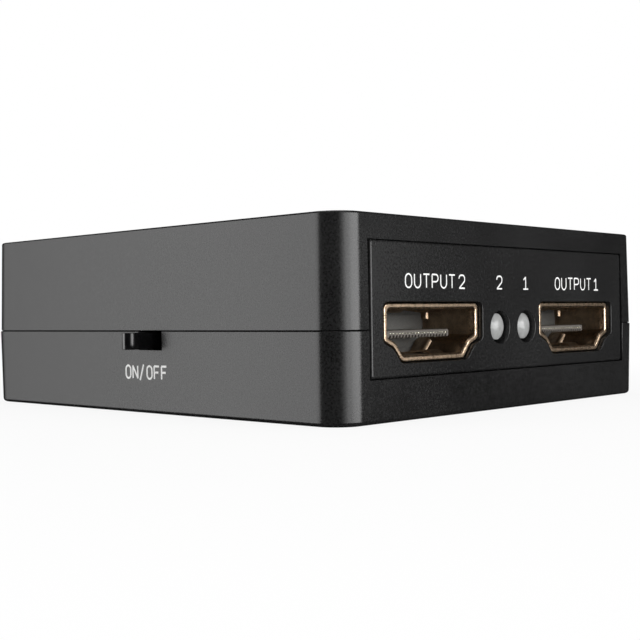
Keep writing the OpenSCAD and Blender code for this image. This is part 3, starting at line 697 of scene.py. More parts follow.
def applied(piece, kind, **settings):
    """Adds one modifier to a piece and applies it."""
    alone(piece)
    bpy.ops.object.modifier_add(type=kind)
    modifier = piece.modifiers[-1]
    for name, value in settings.items():
        setattr(modifier, name, value)
    bpy.ops.object.modifier_apply(modifier=modifier.name)


def combined(piece, operation, others):
    """Cuts other solids out of a piece, or adds them to it, and removes them."""
    for other in others:
        applied(piece, "BOOLEAN", operation=operation, solver="EXACT", object=other)
        bpy.data.objects.remove(other)


def merged(piece):
    """Merges points that fall together, so that no slit is left between faces."""
    with selected(piece, "VERT", everything):
        bpy.ops.mesh.remove_doubles(threshold=WELD)
        bpy.ops.mesh.dissolve_degenerate(threshold=WELD)


def joined(pieces):
    """Makes one piece of several."""
    alone(pieces[0])
    for piece in pieces[1:]:
        piece.select_set(True)
    bpy.ops.object.join()
    return pieces[0]


def copied(piece, name, move=(0, 0, 0), turn=0, axis="Z", centre=(0, 0, 0)):
    """A copy with its own mesh, turned about a point and moved."""
    alone(piece)
    bpy.ops.object.duplicate()
    copy = bpy.context.object
    about = Matrix.Translation(Vector(centre)) @ Matrix.Rotation(turn, 4, axis)
    copy.matrix_world = Matrix.Translation(Vector(move)) @ about @ Matrix.Translation(-Vector(centre))
    bpy.ops.object.transform_apply(location=True, rotation=True, scale=True)
    copy.name = name
    copy.data.name = name
    return copy


def finished(piece, body, slot, *nodes):
    """Smooths a piece, gives it its finish and sets it on its body in place of its nodes."""
    alone(piece)
    bpy.ops.object.shade_smooth_by_angle(angle=SMOOTH_ANGLE)
    applied(piece, "WEIGHTED_NORMAL", keep_sharp=True)
    piece.data.materials.clear()
    piece.data.materials.append(finish_named(slot))
    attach(piece, body)
    if nodes:
        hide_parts(*nodes)
    return piece


def case_block(name, case, inset, start, end, lean):
    """A block with the case's upright corners, inside its walls, that leans in towards its end."""
    low = (CASE_LOW.x + inset, CASE_LOW.y + inset, min(start, end))
    high = (-CASE_LOW.x - inset, -CASE_LOW.y - inset, max(start, end))
    block = box(name, low, high)
    bevelled(block, along(Z), case.corner_radius - inset, CORNER_STEPS)
    with selected(block, "FACE", level(Z, end)):
        shrink = [1 + lean / corner for corner in low[:2]]
        bpy.ops.transform.resize(value=(*shrink, 1), center_override=(0, 0, end))
    return block


def shell_form(name, case, seam, end, inset, lean, radius, edge):
    """Half of the case from the seam to its rounded end, hollowed from the seam."""
    way = 1 if end > seam else -1
    shell = case_block(name, case, inset, seam, end, lean)
    bevelled(shell, level(Z, end), radius, EDGE_STEPS)
    bevelled(shell, level(Z, seam), edge, CHAMFER_STEPS)
    with selected(shell, "FACE", level(Z, seam)):
        bpy.ops.mesh.inset(thickness=case.wall - inset - edge)
        extrude(0, 0, end - seam - way * case.wall)
    return shell


def panel_cutters(case):
    """Openings for both panels, flared to round their outer edges, and the pockets for their flanges."""
    low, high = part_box("output_panel")
    over = Vector((case.flange_over, 0, case.flange_over))
    opening_low, opening_high = low + over, high - over
    opening_low.y, opening_high.y = CASE_LOW.y + case.opening_round, high.y + REACH
    opening = box("opening", opening_low, opening_high)
    centre, half = (opening_low + opening_high) / 2, (opening_high - opening_low) / 2
    with selected(opening, "FACE", facing(Y, -1)):
        depth = spread = 0
        for k in range(1, EDGE_STEPS + 1):
            turn = k / EDGE_STEPS * pi / 2
            forward, wider = case.opening_round * sin(turn), case.opening_round * (1 - cos(turn))
            extrude(0, depth - forward, 0)
            grow = [(half[axis] + wider) / (half[axis] + spread) for axis in (X, Z)]
            bpy.ops.transform.resize(value=(grow[0], 1, grow[1]), center_override=centre)
            depth, spread = forward, wider
        extrude(0, -REACH, 0)
    beside = Vector((1, 0, 1)) * case.pocket_gap
    pocket_low, pocket_high = low - beside, high + beside
    pocket_low.y, pocket_high.y = high.y - case.flange_thickness - case.pocket_gap, high.y + case.pocket_gap
    cutters = [opening, box("pocket", pocket_low, pocket_high)]
    return cutters + [copied(cutter, "rear_cutter", turn=pi) for cutter in cutters]


def panel_ribs(case, low, high):
    """Ribs that hold both panels from behind, beside the walls."""
    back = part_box("output_panel")[1]
    start = back.y + case.pocket_gap
    near, far = back.x - case.rib_grip, -CASE_LOW.x - case.wall / 2
    rib = box("rib", (near, start, low), (far, start + case.rib, high))
    ribs = [rib, copied(rib, "rib", move=(-near - far, 0, 0))]
    return ribs + [copied(piece, "rear_rib", turn=pi) for piece in ribs]


def screw_places(case):
    """Where the four case screws stand."""
    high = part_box("case_screws")[1]
    x, y = high.x - case.screw_head, high.y - case.screw_head
    return [Vector((a * x, b * y, 0)) for a in (-1, 1) for b in (-1, 1)]


def posts(name, case, radius, low, high):
    """Round posts or holes at the four case screws."""
    return [upright(name, place, low, high, radius) for place in screw_places(case)]


def seam_lip(case, gap):
    """Alignment lip on the inner half of the walls, all the way round, or the groove for it."""
    low, high = case.seam_height - case.lip_height, case.seam_height + case.lip_height + gap
    lip = case_block("lip", case, case.wall - case.lip - gap, low, high, case.lip_draft)
    core = case_block("lip_core", case, case.wall + case.pocket_gap + gap, low - REACH, high + REACH, 0)
    combined(lip, "DIFFERENCE", [core])
    return lip


def seam_floor(case):
    """A low ring with a sloping face that closes the seam behind its open gap."""
    low, high = case.seam_height - case.seam_gap, case.seam_height + case.seam_gap / 2 - case.seam_slack
    ring = case_block("seam_floor", case, case.seam_depth, low, high, high - low)
    core = case_block("seam_core", case, case.wall - case.lip / 2, low - REACH, high + REACH, 0)
    combined(ring, "DIFFERENCE", [core])
    return ring


def switch_cutter(name, low_z, high_z, spread):
    """A block across the wall in front of the switch."""
    low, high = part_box("switch_frame")
    return box(name, (CASE_LOW.x - REACH, low.y - spread, low_z), (high.x, high.y + spread, high_z))


def lever_window(case):
    """The slot in the side wall that the lever slides in."""
    y, travel = middle("switch_slider", Y), frame["joints"][0]["range_m"][1]
    front = y - case.lever_width / 2 - travel - case.lever_end_gap
    back = y + case.lever_width / 2 + case.lever_end_gap
    floor = BOARD_HIGH.z + case.lever_rise - case.lever_height / 2 - case.lever_gap
    roof = floor + case.lever_height + 2 * case.lever_gap
    inside = CASE_LOW.x + case.wall + REACH
    return box("lever_window", (CASE_LOW.x - REACH, front, floor), (inside, back, roof))


class SPLITTER_OT_upper_shell(bpy.types.Operator):
    """Model the upper shell with its roof, screw bosses and openings"""

    bl_idname = "splitter.upper_shell"
    bl_label = "Upper shell"

    def execute(self, context):
        case = context.scene.splitter_case
        seam = case.seam_height + case.seam_gap / 2
        shell = shell_form(
            "upper_shell", case, seam, CASE_TOP, case.seam_step, case.upper_lean, case.roof_radius,
            case.upper_edge
        )
        roof = CASE_TOP - case.wall / 2
        inner = panel_ribs(case, case.seam_height + case.lip_height + case.lip_gap, roof)
        inner += posts("boss", case, case.boss, BOARD_HIGH.z, roof)
        combined(shell, "UNION", inner)
        cutters = panel_cutters(case) + [seam_lip(case, case.lip_gap)]
        cutters += posts("thread", case, case.thread, 0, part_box("case_screws")[1].z + case.wall / 2)
        combined(shell, "DIFFERENCE", cutters)
        finished(shell, "case", "case_plastic", "upper_case")
        return {"FINISHED"}


class SPLITTER_OT_lower_shell(bpy.types.Operator):
    """Model the lower shell with its floor, screw seats, board posts and openings"""

    bl_idname = "splitter.lower_shell"
    bl_label = "Lower shell"

    def execute(self, context):
        case = context.scene.splitter_case
        seam = case.seam_height - case.seam_gap / 2
        shell = shell_form(
            "lower_shell", case, seam, CASE_LOW.z, 0, case.lower_lean, case.floor_radius, case.lower_edge
        )
        rings = [seam_lip(case, 0), seam_floor(case)]
        for ring in rings:
            combined(ring, "DIFFERENCE", [switch_cutter("ring_break", seam, CASE_TOP, case.wall / 2)])
        inner = rings + panel_ribs(case, case.wall / 2, case.seam_height + case.lip_height)
        inner += posts("post", case, case.post, case.wall / 2, BOARD_LOW.z)
        combined(shell, "UNION", inner)
        cutters = panel_cutters(case) + [lever_window(case)]
        cutters += posts("seat", case, case.seat, -REACH, case.wall)
        cutters += posts("shank", case, case.shank, -REACH, BOARD_HIGH.z)
        combined(shell, "DIFFERENCE", cutters)
        bevelled(shell, rim(Z, CASE_LOW.z), case.chamfer, CHAMFER_STEPS)
        finished(shell, "case", "case_plastic", "lower_case")
        return {"FINISHED"}


def socket_block(name, parts, front, back, grow=0):
    """Solid with the outline of a socket's mouth at the first output, wide side up."""
    base = BOARD_HIGH.z
    block = box(name, (SOCKET_LOW.x, front, base + parts.knee_high), (SOCKET_HIGH.x, back, SOCKET_HIGH.z))
    centre = (SOCKET_X, (front + back) / 2, base)
    width, height = SOCKET_HIGH.x - SOCKET_LOW.x, parts.knee_high
    for next_width, next_height in ((parts.knee_width, parts.knee_low), (parts.low_width, 0)):
        with selected(block, "FACE", facing(Z, -1)):
            extrude(0, 0, next_height - height)
            bpy.ops.transform.resize(value=(next_width / width, 1, 1), center_override=centre)
        width, height = next_width, next_height
    if grow:
        with selected(block, "FACE", end_faces):
            bpy.ops.mesh.delete(type="ONLY_FACE")
        with selected(block, "FACE", everything):
            bpy.ops.transform.shrink_fatten(value=grow, use_even_offset=True)
        for end in (front, back):
            with selected(block, "EDGE", level(Y, end)):
                bpy.ops.mesh.edge_face_add()
    with selected(block, "FACE", everything):
        bpy.ops.mesh.normals_make_consistent(inside=False)
        bpy.ops.mesh.dissolve_limited(angle_limit=FLAT_ANGLE)
    top = SOCKET_HIGH.z + grow
    bevelled(block, both(along(Y), level(Z, top)), parts.top_round + grow / 2, ROUND_STEPS)
    lower = both(along(Y), lambda edge: edge.verts[0].co.z < (base + top) / 2)
    bevelled(block, lower, parts.knee_round + grow / 4, ROUND_STEPS)
    return block


def at_sockets(piece, names):
    """Copies of a piece of the first output at the other output and at the input."""
    second = copied(piece, names[1], move=(-2 * SOCKET_X, 0, 0))
    third = copied(piece, names[2], move=(middle("input_shell", X) + SOCKET_X, 0, 0), turn=pi)
    return [piece, second, third]


def socket_names(part):
    return [f"{socket}_{part}" for socket in ("output_1", "output_2", "input")]


def panel_form(name, node, way, case):
    """Panel plate with a flange behind it and a raised face."""
    low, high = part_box(node)
    face, back = (low.y, high.y) if way < 0 else (high.y, low.y)
    flange = back + way * case.flange_thickness
    panel = box(name, (low.x, min(flange, back), low.z), (high.x, max(flange, back), high.z))
    half = high.x - case.flange_over
    narrow = (half - case.panel_side_gap) / (half - case.panel_gap)
    with selected(panel, "FACE", facing(Y, way)):
        bpy.ops.mesh.inset(thickness=case.flange_over + case.panel_gap)
        bpy.ops.transform.resize(value=(narrow, 1, 1), center_override=(0, flange, 0))
        extrude(0, face - flange, 0)
    bevelled(panel, spanning(Y, flange, face), case.panel_corner, EDGE_STEPS)
    bevelled(panel, rim(Y, face), case.panel_round, EDGE_STEPS)
    return panel, face


class SPLITTER_OT_panels(bpy.types.Operator):
    """Model both panels with the cut-outs for sockets, lamps and the power inlet"""

    bl_idname = "splitter.panels"
    bl_label = "Panels"

    def execute(self, context):
        case, parts = context.scene.splitter_case, context.scene.splitter_parts
        cutout = socket_block("cutout", parts, MOUTH_Y - REACH, MOUTH_Y + REACH, case.cutout_gap)
        combined(cutout, "UNION", [copied(cutout, "play", move=(-case.cutout_play, 0, 0))])
        cutouts = at_sockets(cutout, ["cutout", "second_cutout", "input_cutout"])
        lamp_radius = parts.lamp_hole / 2 + case.round_gap
        lamp_holes = [self.hole(node, parts.lamp_rise, lamp_radius) for node in ("lamp_1", "lamp_2")]
        inlet_radius = parts.nose_diameter / 2 + case.round_gap
        inlet_hole = self.hole("inlet_housing", parts.inlet_rise, inlet_radius)
        plans = (
            ("output_face", "output_panel", -1, cutouts[:2] + lamp_holes),
            ("input_face", "input_panel", 1, [cutouts[2], inlet_hole]),
        )
        for name, node, way, holes in plans:
            panel, face = panel_form(name, node, way, case)
            combined(panel, "DIFFERENCE", holes)
            bevelled(panel, rim(Y, face), case.hole_round, CHAMFER_STEPS + 1)
            finished(panel, "case", "panel_plastic", node)
        return {"FINISHED"}

    def hole(self, node, rise, radius):
        """A round cutter in line with a lamp or the power inlet, at a height above the board."""
        low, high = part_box(node)
        x, z = middle(node, X), BOARD_HIGH.z + rise
        return lengthwise("hole", x, z, low.y - REACH, high.y + REACH, radius)


class SPLITTER_OT_socket_shells(bpy.types.Operator):
    """Model the plated sheet of the three sockets, with its legs and spring fingers"""

    bl_idname = "splitter.socket_shells"
    bl_label = "Socket shells"

    def execute(self, context):
        parts = context.scene.splitter_parts
        shell = socket_block("sheet", parts, MOUTH_Y + parts.rim_length * SHEET_START, SOCKET_HIGH.y)
        with selected(shell, "FACE", end_faces):
            bpy.ops.mesh.delete(type="ONLY_FACE")
        applied(shell, "SOLIDIFY", thickness=parts.sheet, offset=-1, use_even_offset=True)
        rolled = socket_block("rolled", parts, MOUTH_Y, MOUTH_Y + parts.rim_length, parts.rim_outer)
        bevelled(rolled, rim(Y, MOUTH_Y), parts.rim_round, ROUND_STEPS)
        mouth = socket_block("mouth", parts, MOUTH_Y - REACH, MOUTH_Y + REACH, -parts.rim_inner)
        combined(rolled, "DIFFERENCE", [mouth])
        bevelled(rolled, rim(Y, MOUTH_Y), parts.rim_flare, ROUND_STEPS)
        combined(shell, "UNION", [rolled])
        slit = parts.slit / 2
        slit_low = (SOCKET_X - slit, MOUTH_Y - REACH, BOARD_HIGH.z - parts.rim_inner)
        slit_high = (SOCKET_X + slit, SOCKET_HIGH.y + REACH, BOARD_HIGH.z + parts.rim_inner + slit)
        combined(shell, "DIFFERENCE", [box("slit", slit_low, slit_high)])
        merged(shell)
        names = socket_names("sheet")
        shell = joined([shell] + self.legs(parts) + self.fingers(parts))
        shell.name = names[0]
        for piece, node in zip(at_sockets(shell, names), socket_names("shell")):
            finished(piece, "case", "socket_gold", node)
        return {"FINISHED"}

    def legs(self, parts):
        """Four legs that stand in the board."""
        legs = []
        top = BOARD_HIGH.z + parts.knee_high + parts.sheet
        for side in (-1, 1):
            outer = SOCKET_X + side * (SOCKET_HIGH.x - SOCKET_X)
            inner = outer - side * parts.sheet
            for start in (parts.leg_front, parts.leg_rear):
                y = MOUTH_Y + start
                low = (min(outer, inner), y, SOCKET_LOW.z)
                leg = box("leg", low, (max(outer, inner), y + parts.leg, top))
                bevelled(leg, level(Z, SOCKET_LOW.z), parts.sheet / 3, CHAMFER_STEPS)
                legs.append(leg)
        return legs

    def fingers(self, parts):
        """Bent spring fingers, two on the upper and two on the lower wall, and small ones at the sides."""
        centre = Vector((SOCKET_X, MOUTH_Y, (SOCKET_HIGH.z + BOARD_HIGH.z) / 2))
        half = parts.finger_pitch / 2
        finger = self.finger(parts, parts.finger, parts.tongue_back, parts.finger_length)
        upper = [copied(finger, "finger", move=(shift, 0, 0)) for shift in (-half, half)]
        lower = [copied(piece, "finger", turn=pi, axis="Y", centre=centre) for piece in upper]
        side = self.finger(parts, parts.side_finger, parts.side_start, parts.side_length)
        low = self.finger(parts, parts.slope_finger, parts.slope_start, parts.side_length)
        top = Vector((SOCKET_X, 0, SOCKET_HIGH.z))
        slope = Vector((parts.low_width + parts.knee_width, 0, 2 * parts.knee_low)) / 4
        run = Vector((parts.knee_width - parts.low_width, 0, 2 * parts.knee_low))
        places = (
            (side, pi / 2, Vector((SOCKET_HIGH.x, 0, BOARD_HIGH.z + parts.side_rise))),
            (low, pi / 2 + atan2(run.x, run.z), Vector((SOCKET_X, 0, BOARD_HIGH.z)) + slope),
        )
        sides = [
            copied(piece, "finger", move=place - top, turn=turn * way, axis="Y", centre=top)
            for piece, turn, right in places
            for way, place in ((1, right), (-1, Vector((2 * SOCKET_X - right.x, 0, right.z))))
        ]
        for piece in (finger, side, low):
            bpy.data.objects.remove(piece)
        return upper + lower + sides

    def finger(self, parts, width, start, long):
        """One finger in the middle of the upper wall, bulging down into the mouth."""
        front, top = MOUTH_Y + start, SOCKET_HIGH.z - parts.sheet / 2
        low = (SOCKET_X - width / 2, front, top - parts.sheet / 2)
        finger = box("finger", low, (SOCKET_X + width / 2, front + long, top))
        with selected(finger, "EDGE", along(Y)):
            bpy.ops.mesh.subdivide(number_cuts=FINGER_CUTS)
        for k in range(FINGER_CUTS + 2):
            share = k / (FINGER_CUTS + 1)
            with selected(finger, "VERT", lambda vertex: abs(vertex.co.y - front - share * long) < NEAR):
                bpy.ops.transform.translate(value=(0, 0, -parts.finger_dip * sin(pi * sqrt(share))))
        return finger


class SPLITTER_OT_socket_insulators(bpy.types.Operator):
    """Model the moulded back wall and the notched tongue of the three sockets"""

    bl_idname = "splitter.socket_insulators"
    bl_label = "Socket insulators"

    def execute(self, context):
        parts = context.scene.splitter_parts
        wall_y = MOUTH_Y + parts.mouth_depth
        step_y = wall_y + parts.ledge_depth
        block = socket_block("core", parts, step_y, SOCKET_HIGH.y, -parts.sheet - parts.snug)
        face = socket_block("core_face", parts, wall_y, step_y + parts.ledge, -parts.sheet - parts.ledge)
        bevelled(face, rim(Y, wall_y), parts.ledge_depth, 1)
        merged(face)
        combined(block, "UNION", [face, self.tongue(parts, step_y)])
        merged(block)
        names = socket_names("core")
        block.name = names[0]
        for piece, node in zip(at_sockets(block, names), socket_names("insulator")):
            finished(piece, "case", "insulator_plastic", node)
        return {"FINISHED"}

    def tongue(self, parts, back):
        """The tongue, with a chamfered tip and a notch for each contact along its lower edge."""
        z, tip = BOARD_HIGH.z + parts.tongue_rise, MOUTH_Y + parts.tongue_back
        half, width = parts.tongue_thickness / 2, parts.tongue_width / 2
        tongue = box("tongue", (SOCKET_X - width, tip, z - half), (SOCKET_X + width, back, z + half))
        bevelled(tongue, both(level(Y, tip), along(X)), parts.tip_bevel, CHAMFER_STEPS)
        bevelled(tongue, both(level(Y, tip), along(Z)), parts.tip_bevel / 2, CHAMFER_STEPS)
        first = SOCKET_X - (CONTACTS - 1) / 2 * parts.contact_pitch
        slot = parts.contact_width / 2
        low = (first - slot, tip - REACH, z - half - parts.notch)
        notch = box("notch", low, (first + slot, tip + parts.notch_length, z - half + parts.notch))
        repeat_contacts(notch, parts)
        combined(tongue, "DIFFERENCE", [notch])
        return tongue


def repeat_contacts(piece, parts):
    """Repeats a piece at every contact of a socket, starting from the first."""
    applied(
        piece, "ARRAY", count=CONTACTS, use_relative_offset=False, use_constant_offset=True,
        constant_offset_displace=(parts.contact_pitch, 0, 0)
    )


class SPLITTER_OT_contact_tips(bpy.types.Operator):
    """Model the row of plated contact tips in the front of each tongue"""

    bl_idname = "splitter.contact_tips"
    bl_label = "Contact tips"

    def execute(self, context):
        parts = context.scene.splitter_parts
        z, tip = BOARD_HIGH.z + parts.tongue_rise, MOUTH_Y + parts.tongue_back
        first = SOCKET_X - (CONTACTS - 1) / 2 * parts.contact_pitch
        slot = parts.contact_width / 2
        level_z = z + parts.contact_rise
        half = parts.contact_thickness / 2
        low = (first - slot, tip - parts.contact_proud, level_z - half)
        contact = box("contact", low, (first + slot, tip + parts.notch_length, level_z + half))
        bevelled(contact, level(Y, low[Y]), half * TIP_SHARE, CHAMFER_STEPS + 1)
        repeat_contacts(contact, parts)
        names = socket_names("contact_tips")
        contact.name = names[0]
        for piece in at_sockets(contact, names):
            finished(piece, "case", "contact_gold")
        return {"FINISHED"}


class SPLITTER_OT_lamps(bpy.types.Operator):
    """Model the two milky lamps with their low domes"""

    bl_idname = "splitter.lamps"
    bl_label = "Lamps"

    def execute(self, context):
        parts = context.scene.splitter_parts
        low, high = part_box("lamp_1")
        x, z = middle("lamp_1", X), middle("lamp_1", Z)
        radius = parts.lamp_diameter / 2
        edge = low.y - parts.lamp_forward + parts.dome
        lens = lengthwise("lamp_1_lens", x, z + parts.lamp_lift, edge, high.y, radius, LENS_SIDES)
        ball = (radius ** 2 + parts.dome ** 2) / (2 * parts.dome)
        rise = [sqrt(ball ** 2 - (radius * (1 - k / LENS_STEPS)) ** 2) for k in range(LENS_STEPS)]
        with selected(lens, "FACE", facing(Y, -1)):
            for k in range(1, LENS_STEPS):
                bpy.ops.mesh.inset(thickness=radius / LENS_STEPS, depth=rise[k] - rise[k - 1])
        base = high.y - parts.collar
        collar = lengthwise("collar", x, z, base, high.y, (high.x - low.x) / 2, LENS_SIDES)
        combined(lens, "UNION", [collar])
        other = copied(lens, "lamp_2_lens", move=(-2 * x, 0, 0))
        for piece, node in ((lens, "lamp_1"), (other, "lamp_2")):
            finished(piece, "case", "lamp_lens", node)
        return {"FINISHED"}


class SPLITTER_OT_switch_lever(bpy.types.Operator):
    """Model the glossy lever of the slide switch and the block that carries it"""

    bl_idname = "splitter.switch_lever"
    bl_label = "Switch lever"

    def execute(self, context):
        case, parts = context.scene.splitter_case, context.scene.splitter_parts
        low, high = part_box("switch_slider")
        frame_low, frame_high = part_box("switch_frame")
        y, z = middle("switch_slider", Y), BOARD_HIGH.z + case.lever_rise
        half = Vector((0, case.lever_width / 2, case.lever_height / 2))
        inner, step = (frame_low.x + frame_high.x) / 2, frame_low.x - parts.tip_bevel
        slim = half - Vector((0, 0, parts.lever_bevel))
        stem = box("stem", Vector((step - parts.tip_bevel, y, z)) - slim, Vector((inner, y, z)) + slim)
        y -= parts.lever_forward
        lever = box("switch_knob", Vector((low.x, y, z)) - half, Vector((step, y, z)) + half)
        for side, radius in ((-1, parts.lever_nose), (1, parts.lever_heel)):
            corner = y + side * half.y
            bevelled(lever, both(level(X, low.x), level(Y, corner)), radius, CORNER_STEPS)
        bevelled(lever, folded, parts.lever_bevel, CHAMFER_STEPS)
        depth = high.x - inner
        block = box("block", (inner - depth, low.y, low.z), (high.x, high.y, high.z))
        bevelled(block, everything, 2 * parts.lever_bevel, CHAMFER_STEPS)
        combined(lever, "UNION", [stem, block])
        finished(lever, "switch_lever", "lever_plastic", "switch_slider")
        return {"FINISHED"}


class SPLITTER_OT_power_inlet(bpy.types.Operator):
    """Model the housing of the power inlet with its round nose and bore"""

    bl_idname = "splitter.power_inlet"
    bl_label = "Power inlet"

    def execute(self, context):
        parts = context.scene.splitter_parts
        low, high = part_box("inlet_housing")
        x, z = middle("inlet_housing", X), BOARD_HIGH.z + parts.inlet_rise
        front = high.y
        shoulder = front - parts.nose_length
        housing = box("inlet_body", low, (high.x, shoulder, high.z))
        bevelled(housing, everything, parts.tip_bevel, CHAMFER_STEPS)
        nose = lengthwise("nose", x, z, front, shoulder - parts.sheet, parts.nose_diameter / 2)
        bore = lengthwise("bore", x, z, front + REACH, front - parts.bore_depth, parts.bore_diameter / 2)
        combined(housing, "UNION", [nose])
        combined(housing, "DIFFERENCE", [bore])
        bevelled(housing, rim(Y, front), parts.tip_bevel, CHAMFER_STEPS)
        finished(housing, "case", "inlet_plastic", "inlet_housing")
        self.pin(parts, x, z, front - parts.bore_depth)
        return {"FINISHED"}

    def pin(self, parts, x, z, floor):
        """Centre pin with a rounded tip, its root behind the bore's floor, and its terminal."""
        low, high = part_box("inlet_pin")
        pin = lengthwise("inlet_centre_pin", x, z, high.y, floor - parts.sheet, parts.pin_diameter / 2)
        bevelled(pin, level(Y, high.y), parts.pin_diameter / 4, ROUND_STEPS)
        root = lengthwise("root", x, z, floor, low.y + parts.sheet / 2, parts.root_diameter / 2)
        tab = box("tab", low, (high.x, low.y + parts.sheet * 2 / 3, z + (high.x - low.x) / 2))
        combined(pin, "UNION", [root, tab])
        finished(pin, "case", "plain_steel", "inlet_pin")


class SPLITTER_OT_case_screws(bpy.types.Operator):
    """Model the four case screws with rounded heads and cross recesses"""

    bl_idname = "splitter.case_screws"
    bl_label = "Case screws"

    def execute(self, context):
        case, parts = context.scene.splitter_case, context.scene.splitter_parts
        low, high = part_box("case_screws")
        places = screw_places(case)
        seat = low.z + parts.head_height
        at = places[0]
        screw = upright("case_screw_set", at, low.z, seat, case.screw_head)
        bevelled(screw, level(Z, low.z), parts.head_height / 3, ROUND_STEPS)
        long, short, deep = parts.cross_length / 2, parts.cross_width / 2, low.z + parts.cross_depth
        for size in (Vector((long, short, 0)), Vector((short, long, 0))):
            slot = box("cross", at - size - Vector((0, 0, REACH)), at + size + Vector((0, 0, deep)))
            combined(screw, "DIFFERENCE", [slot])
        shank = upright("shank", at, seat - parts.sheet, high.z, parts.thread_diameter / 2)
        bevelled(shank, level(Z, high.z), parts.thread_diameter / 4, CHAMFER_STEPS)
        combined(screw, "UNION", [shank])
        others = [copied(screw, "screw", move=place - at) for place in places[1:]]
        finished(joined([screw] + others), "case", "screw_steel", "case_screws")
        return {"FINISHED"}


def rounded(points, radius, closed):
    """A line of points with an arc at each corner."""
    points = [Vector(point) for point in points]
    count = len(points)
    line = []
    for i, point in enumerate(points):
        if not closed and i in (0, count - 1):
            line.append(point)
            continue
        before = (points[i - 1] - point).normalized()
        after = (points[(i + 1) % count] - point).normalized()
        half = before.angle(after) / 2
        reach = radius / tan(half)
        centre = point + (before + after).normalized() * radius / sin(half)
        start, end = point + before * reach - centre, point + after * reach - centre
        turn = start.angle_signed(end)
        line += [centre + Matrix.Rotation(-turn * k / ARC_STEPS, 2) @ start for k in range(ARC_STEPS + 1)]
    return line


def stroke_line(*corners, arc=0, closed=False):
    """One stroke of a letter: its corners, the radius of its arcs, and whether it closes."""
    return corners, arc, closed


def glyph_strokes(letter, w):
    """Strokes of a letter one unit high and w wide."""
    r, bow = w / 2, 0.27
    stem, mast = stroke_line((0, 0), (0, 1)), stroke_line((r, 1), (r, 0))
    roof, foot = stroke_line((0, 1), (w, 1)), stroke_line((0, 0), (w, 0))
    low = 1 - 2 * bow
    return {
        "O": (stroke_line((0, 0), (w, 0), (w, 1), (0, 1), arc=r, closed=True),),
        "U": (stroke_line((0, 1), (0, 0), (w, 0), (w, 1), arc=r),),
        "T": (roof, mast),
        "P": (stem, stroke_line((0, 1), (w, 1), (w, low), (0, low), arc=bow)),
        "N": (stem, stroke_line((0, 1), (w, 0)), stroke_line((w, 0), (w, 1))),
        "F": (stem, roof, stroke_line((0, 0.52), (0.84 * w, 0.52))),
        "/": (stroke_line((0, -0.14), (0.78 * w, 1.12)),),
        "1": (stroke_line((0.04, 0.74), (r, 1)), mast, foot),
        "2": (stroke_line((0, 0.72), (0, 1), (w, 1), (w, 0.55), (0.02, 0), arc=bow), foot),
        "I": (mast,),
        "D": (stem, stroke_line((0, 1), (w, 1), (w, 0), (0, 0), arc=bow)),
        "C": (stroke_line((w, 0.7), (w, 1), (0, 1), (0, 0), (w, 0), (w, 0.3), arc=r),),
        "5": (
            stroke_line((w, 1), (0.06, 1), (0.02, 0.56)),
            stroke_line((0.02, 0.56), (w, 0.6), (w, 0), (0, 0), arc=bow),
        ),
        "V": (stroke_line((0, 1), (r, 0)), stroke_line((r, 0), (w, 1))),
    }[letter]


def legend(name, parts, size, words, across, up, out):
    """Printed words, each given with its start point and its letter pitch, flat on a face."""
    height, width, stroke = size
    curve = bpy.data.curves.new(name, "CURVE")
    curve.dimensions = "3D"
    curve.bevel_depth = stroke / 2
    curve.bevel_resolution = 1
    curve.use_fill_caps = True
    turn = Matrix((across, up, out)).transposed()
    tall = height - stroke
    back = turn.inverted()
    for text, start, pitch in words:
        origin = back @ Vector(start)
        for k, letter in enumerate(text.replace(" ", "")):
            gap = WORD_GAP * pitch if " " in text and k >= text.index(" ") else 0
            for corners, arc, closed in glyph_strokes(letter, width / tall):
                line = rounded(corners, arc, closed) if arc else [Vector(corner) for corner in corners]
                spline = curve.splines.new("POLY")
                spline.points.add(len(line) - 1)
                spline.use_cyclic_u = closed
                for point, place in zip(spline.points, line):
                    x, y = origin.x + k * pitch + gap + place.x * tall, origin.y + place.y * tall
                    point.co = (x, y, 0, 1)
    print_object = bpy.data.objects.new(name, curve)
    bpy.context.collection.objects.link(print_object)
    alone(print_object)
    bpy.ops.object.convert(target="MESH")
    piece = bpy.context.object
    flat = Matrix.Diagonal((1, 1, parts.ink / stroke)).to_4x4()
    lift = Matrix.Translation(Vector((0, 0, (back @ Vector(words[0][1])).z)))
    piece.matrix_world = turn.to_4x4() @ lift @ flat
    bpy.ops.object.transform_apply(location=True, rotation=True, scale=True)
    with selected(piece, "VERT", everything):
        bpy.ops.mesh.remove_doubles(threshold=WELD)
        bpy.ops.mesh.normals_make_consistent(inside=False)
    return piece


